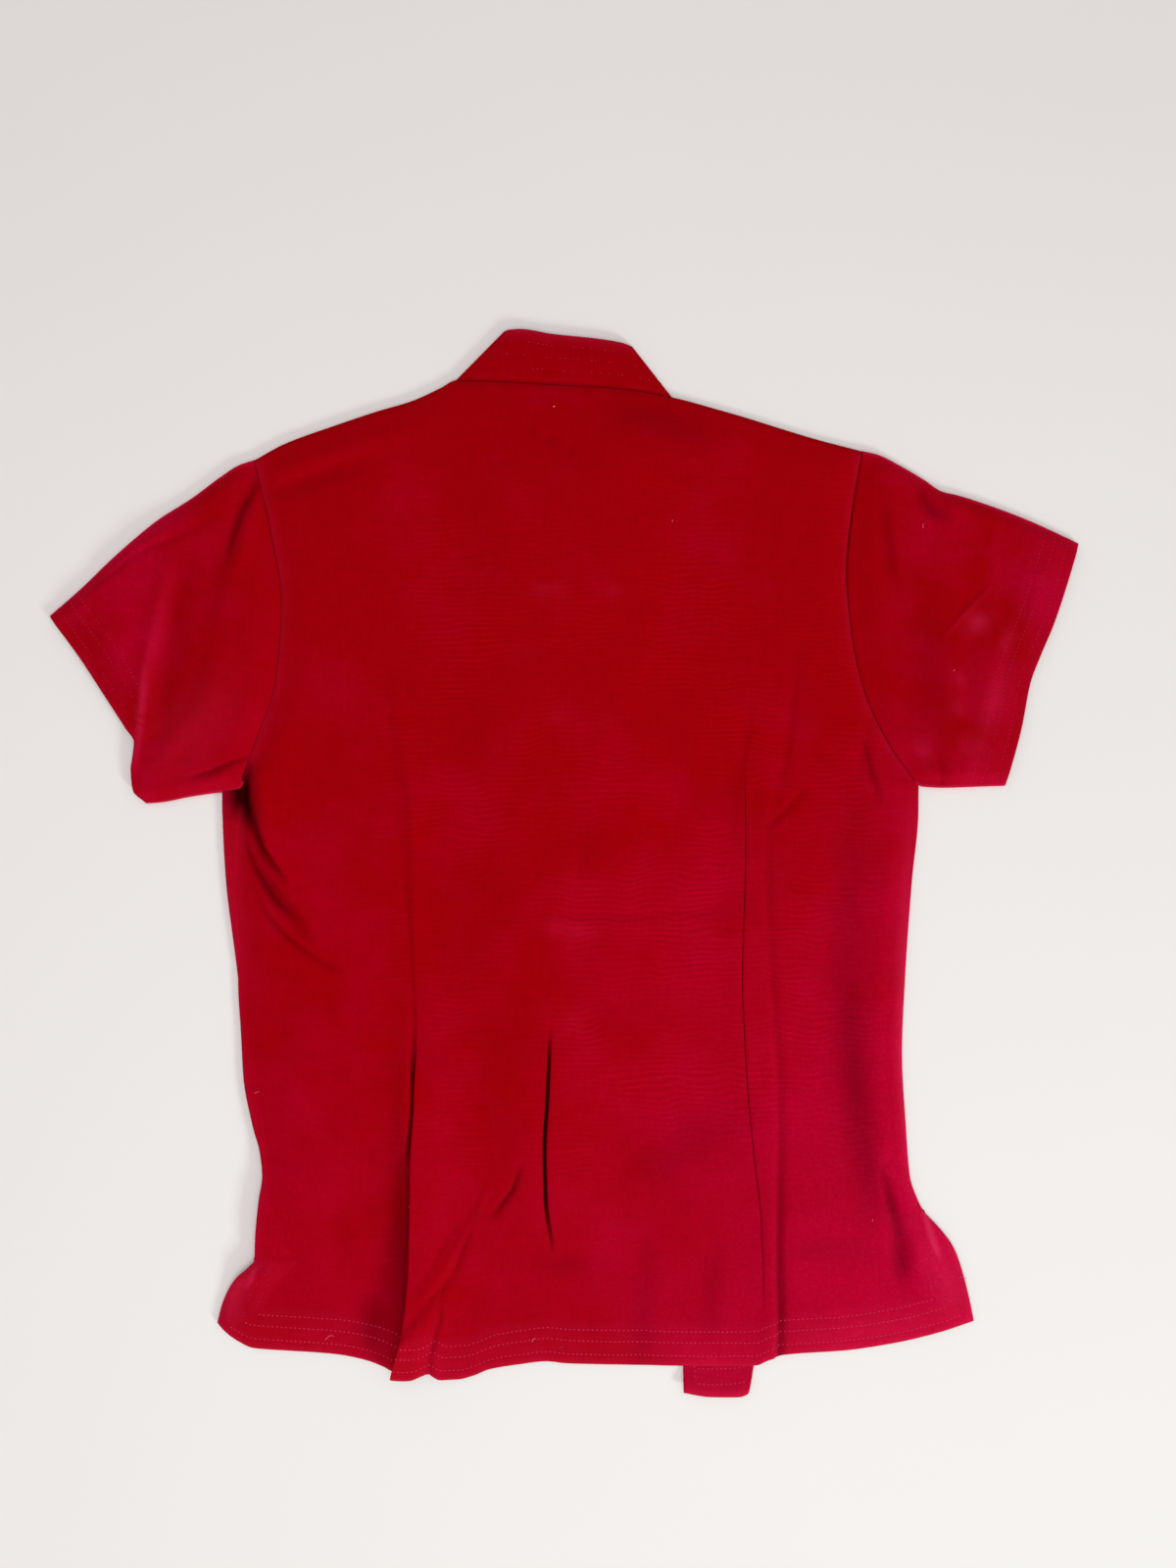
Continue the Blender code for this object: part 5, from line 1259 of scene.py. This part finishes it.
# x, y, direction in degrees, length, bend, how far its far end is lifted, and radius
PALE_FIBRES = (
    (-7.6, 325.0, 20, 1.2, 0.1, 0.0, 0.42), (-170, -340.0, 25, 7.0, 1.4, 0.4, 0.12),
    (-22.5, -341.0, 50, 3.6, 0.9, 0.3, 0.12), (77.4, 243.0, 95, 1.6, 0.2, 0.1, 0.12),
    (255.8, 238.6, 88, 3.4, 0.3, 0.2, 0.12), (277.4, 136.6, 60, 1.4, 0.3, 0.1, 0.14),
    (-220.6, -164.4, 25, 3.6, 0.2, 0.1, 0.12), (219.8, -255.4, 80, 1.6, 0.2, 0.1, 0.12),
)
RED_FIBRES = ((281.8, -296.0, -5, 5.4, 0.9, 0.8, 0.2), (-3.0, -345.5, 15, 3.0, 0.6, 0.4, 0.16))


def fibres(name, rows, material):
    """Short strands that start on the cloth, with rings of points round them.

    Each bends sideways as half a sine, rises with the square of the way along, and thins to half.
    """
    shown = (back_grid, left_sleeve_grid, right_sleeve_grid)
    shown = np.concatenate([grid.reshape(-1, 3) for grid in shown])
    x, y, turn, length, bend, lift, radius = np.array(rows, dtype=float).T[:, :, None]
    share = np.linspace(0.0, 1.0, FIBRE_POINTS)
    ahead = length * share
    off = bend * np.sin(np.pi * share)
    angle = np.radians(turn)
    away = np.hypot(shown[:, 0] - x, shown[:, 1] - y)
    ground = np.where(away < FIBRE_SEARCH, shown[:, 2], 0.0).max(axis=1)[:, None]
    arc = np.stack([
        x + ahead * np.cos(angle) - off * np.sin(angle), y + ahead * np.sin(angle) + off * np.cos(angle),
        ground + radius + lift * share ** 2], axis=-1)
    along = np.gradient(arc, axis=1)
    aside = np.cross(along, (0.0, 0.0, 1.0))
    aside /= np.linalg.norm(aside, axis=-1, keepdims=True)
    over = np.cross(aside, along)
    over /= np.linalg.norm(over, axis=-1, keepdims=True)
    angles = np.linspace(0.0, 2 * np.pi, FIBRE_SIDES, endpoint=False)[:, None]
    thin = (radius * (1.0 - 0.5 * share ** 4))[..., None, None]
    ring = np.cos(angles) * aside[:, :, None] + np.sin(angles) * over[:, :, None]
    return strands(name, arc[:, :, None] + thin * ring, material)


# Cotton lint is pale pink fluff with no shine.
lint = new_material("cotton_lint", Base_Color=linear("#f08c9e"), Roughness=0.9, Specular_IOR_Level=0.1)[0]
fibres("pale_fibres", PALE_FIBRES, lint)
fibres("thread_ends", RED_FIBRES, hem_thread)

# The collar: a stand of two layers with stiffening between, sewn to the neck and folded flat at both
# sides. Three rows of stitching run round it, and its front ends are rounded.
NECK_SEAM_GAP = 0.5
NECK_SEAM_WIDTH = 1.4
COLLAR_LOFT = 0.7
# A painted highlight along the collar's folded top edge; the collar is a little darker all over, with
# painted shade along the neck seam
COLLAR_HIGHLIGHT = 0.3
COLLAR_HIGHLIGHT_FADE = 3.0
COLLAR_SHADE = 0.05
COLLAR_SEAM_SHADE = 0.3
COLLAR_LIFT = 0.5
COLLAR_HEIGHT = 36.0
COLLAR_ENDS = 0.12
COLLAR_END_X = 2.5
COLLAR_ROUNDING = 9.0
# Share of the height, and of the way to the end, where the rounding starts, and the share that it takes
ROUNDED_HEIGHT = (0.7, 0.3)
ROUNDED_END = (0.6, 0.4)
COLLAR_ROWS = (8.5, 17.5, 26.5)
COLLAR_STEPS = (
    0.0, 0.8, 3.0, 7.4, 8.5, 9.6, 13.0, 16.4, 17.5, 18.6, 22.0, 25.4, 26.5, 27.6, 31.0, 34.0, 35.2, 36.0,
    37.0, 40.0,
)
SEAM_ALLOWANCE_LEVELS = (1.1, 1.7)
COLLAR_COLUMNS = 70
COLLAR_HALF_COLUMNS = 40
# x, y along the top edge, and control points of the front's two halves from the fold to the end
COLLAR_TOP = (
    (-43.6, 379.4), (-39, 380.9), (-31, 381.2), (-9, 377.8), (24, 374.3), (41, 371.5), (49, 369),
)
LEFT_COLLAR_EDGE = ((-41, 380), (-50, 330), (-32, 304), (0, FRONT_NECK_Y + COLLAR_HEIGHT))
RIGHT_COLLAR_EDGE = ((49, 369), (51, 326), (30, 304), (0, FRONT_NECK_Y + COLLAR_HEIGHT))

# Each row's share of the way from the seam to the edge, from its rows on the seam allowance up
climb = 1.0 - np.array(COLLAR_STEPS[::-1]) / COLLAR_HEIGHT


def collar_stretch(seam, edge, height):
    """Points between the collar's seam and its upper edge, in rows that keep their share of its depth."""
    plan = seam[None] * (1 - climb[:, None, None]) + edge[None] * climb[:, None, None]
    return np.concatenate([plan, np.broadcast_to(height, plan.shape[:2])[..., None]], axis=-1)


def collar_front(seam_controls, edge_controls, sign):
    """Half of the collar's front, flat on the table, with the corner of its end drawn in by a quarter of
    a circle."""
    shares = np.linspace(0.0, 1.0, COLLAR_HALF_COLUMNS)
    half = collar_stretch(bezier(seam_controls, shares), bezier(edge_controls, shares), 0.0)
    corner = np.clip((climb - ROUNDED_HEIGHT[0]) / ROUNDED_HEIGHT[1], 0.0, 1.0)
    pull = COLLAR_END_X + COLLAR_ROUNDING * (1 - np.sqrt(1 - corner ** 2))
    half[..., 0] += sign * pull[:, None] * soft_step((shares - ROUNDED_END[0]) / ROUNDED_END[1])
    half[..., 2] = button_lift(half[..., 0], half[..., 1])
    return half


def collar_turn(fold, above, below, angles):
    """Columns round a folded side of the collar, each in the way that its own layer runs."""
    along_fold = fold[-1, :2] - fold[0, :2]
    normal = np.array([along_fold[1], -along_fold[0]]) / np.hypot(*along_fold)

    def inward(angle):
        """The way in from the fold, towards the upper layer above it and the lower layer below it."""
        way = (above if angle > 0.0 else below)[..., :2] - fold[..., :2]
        return way / np.abs(way @ normal)[:, None]

    return round_fold(fold, inward, angles)


seam_x = np.linspace(-NECK_HALF, NECK_HALF, COLLAR_COLUMNS)
collar_seam = np.stack([seam_x, line(BACK_TOP, seam_x) + NECK_SEAM_GAP], axis=-1)
collar_shares = np.linspace(0.0, 1.0, COLLAR_COLUMNS)
collar_back = collar_stretch(collar_seam, path(COLLAR_TOP, collar_shares), 2 * FOLD_RADIUS)
collar_ends = soft_step(np.minimum(collar_shares, 1 - collar_shares) / COLLAR_ENDS)[None]
from_top = (1 - climb) * COLLAR_HEIGHT
from_neck_seam = climb * COLLAR_HEIGHT
collar_height = COLLAR_LOFT * np.sin(np.pi * climb) + COLLAR_LIFT
for row in COLLAR_ROWS:
    collar_height = collar_height - STITCH_DIP * np.exp(-((from_top - row) / STITCH_DIP_WIDTH) ** 2)
collar_height = collar_height - SEAM_DIP * np.exp(-(from_neck_seam / NECK_SEAM_WIDTH) ** 2)
collar_back[..., 2] += collar_height[:, None] * collar_ends
collar_left = collar_front(LEFT_NECK, LEFT_COLLAR_EDGE, -1)
collar_right = collar_front(RIGHT_NECK, RIGHT_COLLAR_EDGE, 1)
collar_grid = np.concatenate([
    collar_left[:, :0:-1],
    collar_turn(collar_back[:, 0], collar_back[:, 2], collar_left[:, 2], TURNS[::-1]),
    collar_back[:, 2:-2],
    collar_turn(collar_back[:, -1], collar_back[:, -3], collar_right[:, 2], TURNS),
    collar_right[:, 1:],
], axis=1)
collar_grid[:2, :, 2] = np.array(SEAM_ALLOWANCE_LEVELS)[:, None]
collar_highlight = COLLAR_HIGHLIGHT * np.exp(-(1 - climb) * COLLAR_HEIGHT / COLLAR_HIGHLIGHT_FADE)
collar_deep = COLLAR_SHADE + COLLAR_SEAM_SHADE * np.exp(-(from_neck_seam / NECK_SHADE_WIDTH) ** 2)
collar = cloth_piece("blouse_collar", "collar", collar_grid, {
    "wear_and_highlight": collar_highlight[:, None], "deep": collar_deep[:, None], "ribbed": 0.0})
round_collar = np.arange(1, collar_grid.shape[1] - 1)
collar_runs = [along_grid(collar_grid, len(COLLAR_STEPS) - 1 - COLLAR_STEPS.index(row), round_collar)
               for row in COLLAR_ROWS]
collar_stitches = stitches("collar_stitches", collar_runs, matching_thread, 0.8)

# The buttons: six domed shirt buttons moulded in red plastic, each in one piece with a shank that goes
# through a worked buttonhole in the right front to the left one. They lie face down on the table.
BUTTON_COUNT = 6
FIRST_BUTTON_Y = 259.0
BUTTON_SPACING = 74.0
BUTTON_SIDES = 40
BUTTONHOLE_LENGTH = 16.0
BUTTONHOLE_HALF = 1.3
BUTTONHOLE_POINTS = 16
# Distance from the middle and height above the table, from the face round the rim to the top of the shank
BUTTON_PROFILE = (
    (0.0, 0.0), (1.6, 0.03), (3.0, 0.16), (3.8, 0.34), (4.2, 0.30), (4.7, 0.10), (5.2, 0.14),
    (5.6, 0.42), (5.75, 0.85), (5.7, 1.3), (5.4, 1.7), (4.8, 1.92), (2.2, 2.0), (1.5, 2.1), (1.3, 2.6),
    (1.3, 3.8), (0.9, 4.1), (0.0, 4.2),
)

# Moulded polyester is smooth and glossy, in a darker red than the cloth.
plastic = clouded_material(
    "polyester_button", "#7e0410", "#a00a1c", 240.0, 3.0, Roughness=0.32, Specular_IOR_Level=0.5)
button_turn = np.linspace(0.0, 2 * np.pi, BUTTON_SIDES, endpoint=False)
out_from_middle, above_table = np.array(BUTTON_PROFILE)[:, :, None].transpose(1, 0, 2)
button_ring = np.stack(np.broadcast_arrays(
    out_from_middle * np.cos(button_turn), out_from_middle * np.sin(button_turn), above_table,
), axis=-1)[1:-1]
ring_number = np.arange(button_ring[..., 0].size).reshape(button_ring.shape[:2])
ring_after = np.roll(ring_number, -1, axis=1)
button_sides = np.stack([ring_number[:-1], ring_after[:-1], ring_after[1:], ring_number[1:]], axis=-1)
middle_low, middle_high = (np.full(BUTTON_SIDES, ring_number.size + end) for end in (0, 1))
button_ends = np.concatenate([
    np.stack([ring_after[0], ring_number[0], middle_low], axis=-1),
    np.stack([ring_number[-1], ring_after[-1], middle_high], axis=-1)])
button_points = np.concatenate([button_ring.reshape(-1, 3), [(0.0, 0.0, above_table[0, 0])],
                                [(0.0, 0.0, above_table[-1, 0])]])
hole_runs = []
for number in range(BUTTON_COUNT):
    centre = np.array((0.0, FIRST_BUTTON_Y - BUTTON_SPACING * number, 0.0))
    button = mesh_piece(f"shirt_button_{number + 1}", button_points + centre,
                        [button_sides.reshape(-1, 4), button_ends], plastic)
    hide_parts(f"button_{number + 1}")
    bar_y = centre[1] + np.linspace(-BUTTONHOLE_LENGTH / 2, BUTTONHOLE_LENGTH / 2, BUTTONHOLE_POINTS)
    for bar_x in (-BUTTONHOLE_HALF, BUTTONHOLE_HALF):
        bar = np.stack([np.full_like(bar_y, bar_x), bar_y, button_lift(bar_x, bar_y)], axis=-1)
        hole_runs.append((bar, np.broadcast_to((0.0, 0.0, -1.0), bar.shape)))
stitches("buttonhole_stitches", hole_runs, matching_thread)

# The table, the light and the camera: a pale board, painted matt, under soft light from a window to the
# lower right and from the sky. The camera looks straight down.
BOARD_HALF = 4000.0
BOARD_Z = -0.3
FRAME_CENTRE = (0.01715, 0.05635)
FRAME_HEIGHT = 1.12
LENS_INSIDE_CAMERA = 0.003

# Painted board is chalky, with hardly any shine.
board = clouded_material(
    "pale_board", "#efeeec", "#f2f1ef", 3.0, 4.0, Roughness=0.9, Specular_IOR_Level=0.2)
board_corners = np.array([(-1, -1), (1, -1), (1, 1), (-1, 1)]) * BOARD_HALF
board_points = np.column_stack([board_corners, np.full(4, BOARD_Z)])
floor_mesh = bpy.data.meshes.new("floor")
floor_mesh.from_pydata((board_points * METRES).tolist(), [], [(0, 1, 2, 3)])
floor_mesh.materials.append(board)
put("floor", floor_mesh)


def area_light(name, place, aim, size, power, colour):
    """A square light at a place, turned to shine at its aim."""
    data = bpy.data.lights.new(name, "AREA")
    data.shape = "SQUARE"
    data.size = size
    data.energy = power
    data.color = linear(colour)[:3]
    light = put(name, data)
    light.location = place
    light.rotation_euler = (Vector(aim) - Vector(place)).to_track_quat("-Z", "Y").to_euler()


area_light("window", (2.5, -2.8, 1.22), (0.0, 0.0, 0.0), 0.6, 86.0, "#f1fff9")
area_light("sky", (-0.05, -0.35, 1.35), (-0.05, -0.2, 0.0), 1.2, 5.8, "#f8fffc")
world = bpy.data.worlds.new("room")
world.use_nodes = True
world.node_tree.nodes["Background"].inputs[0].default_value = linear("#fff3f5")
world.node_tree.nodes["Background"].inputs[1].default_value = 0.6
bpy.context.scene.world = world
bpy.context.scene.view_settings.view_transform = "Standard"

lens = bpy.data.cameras.new("camera")
lens.lens = 26.0
camera = put("camera", lens)
camera.location = (*FRAME_CENTRE, FRAME_HEIGHT * lens.lens / lens.sensor_width + LENS_INSIDE_CAMERA)
bpy.context.scene.camera = camera
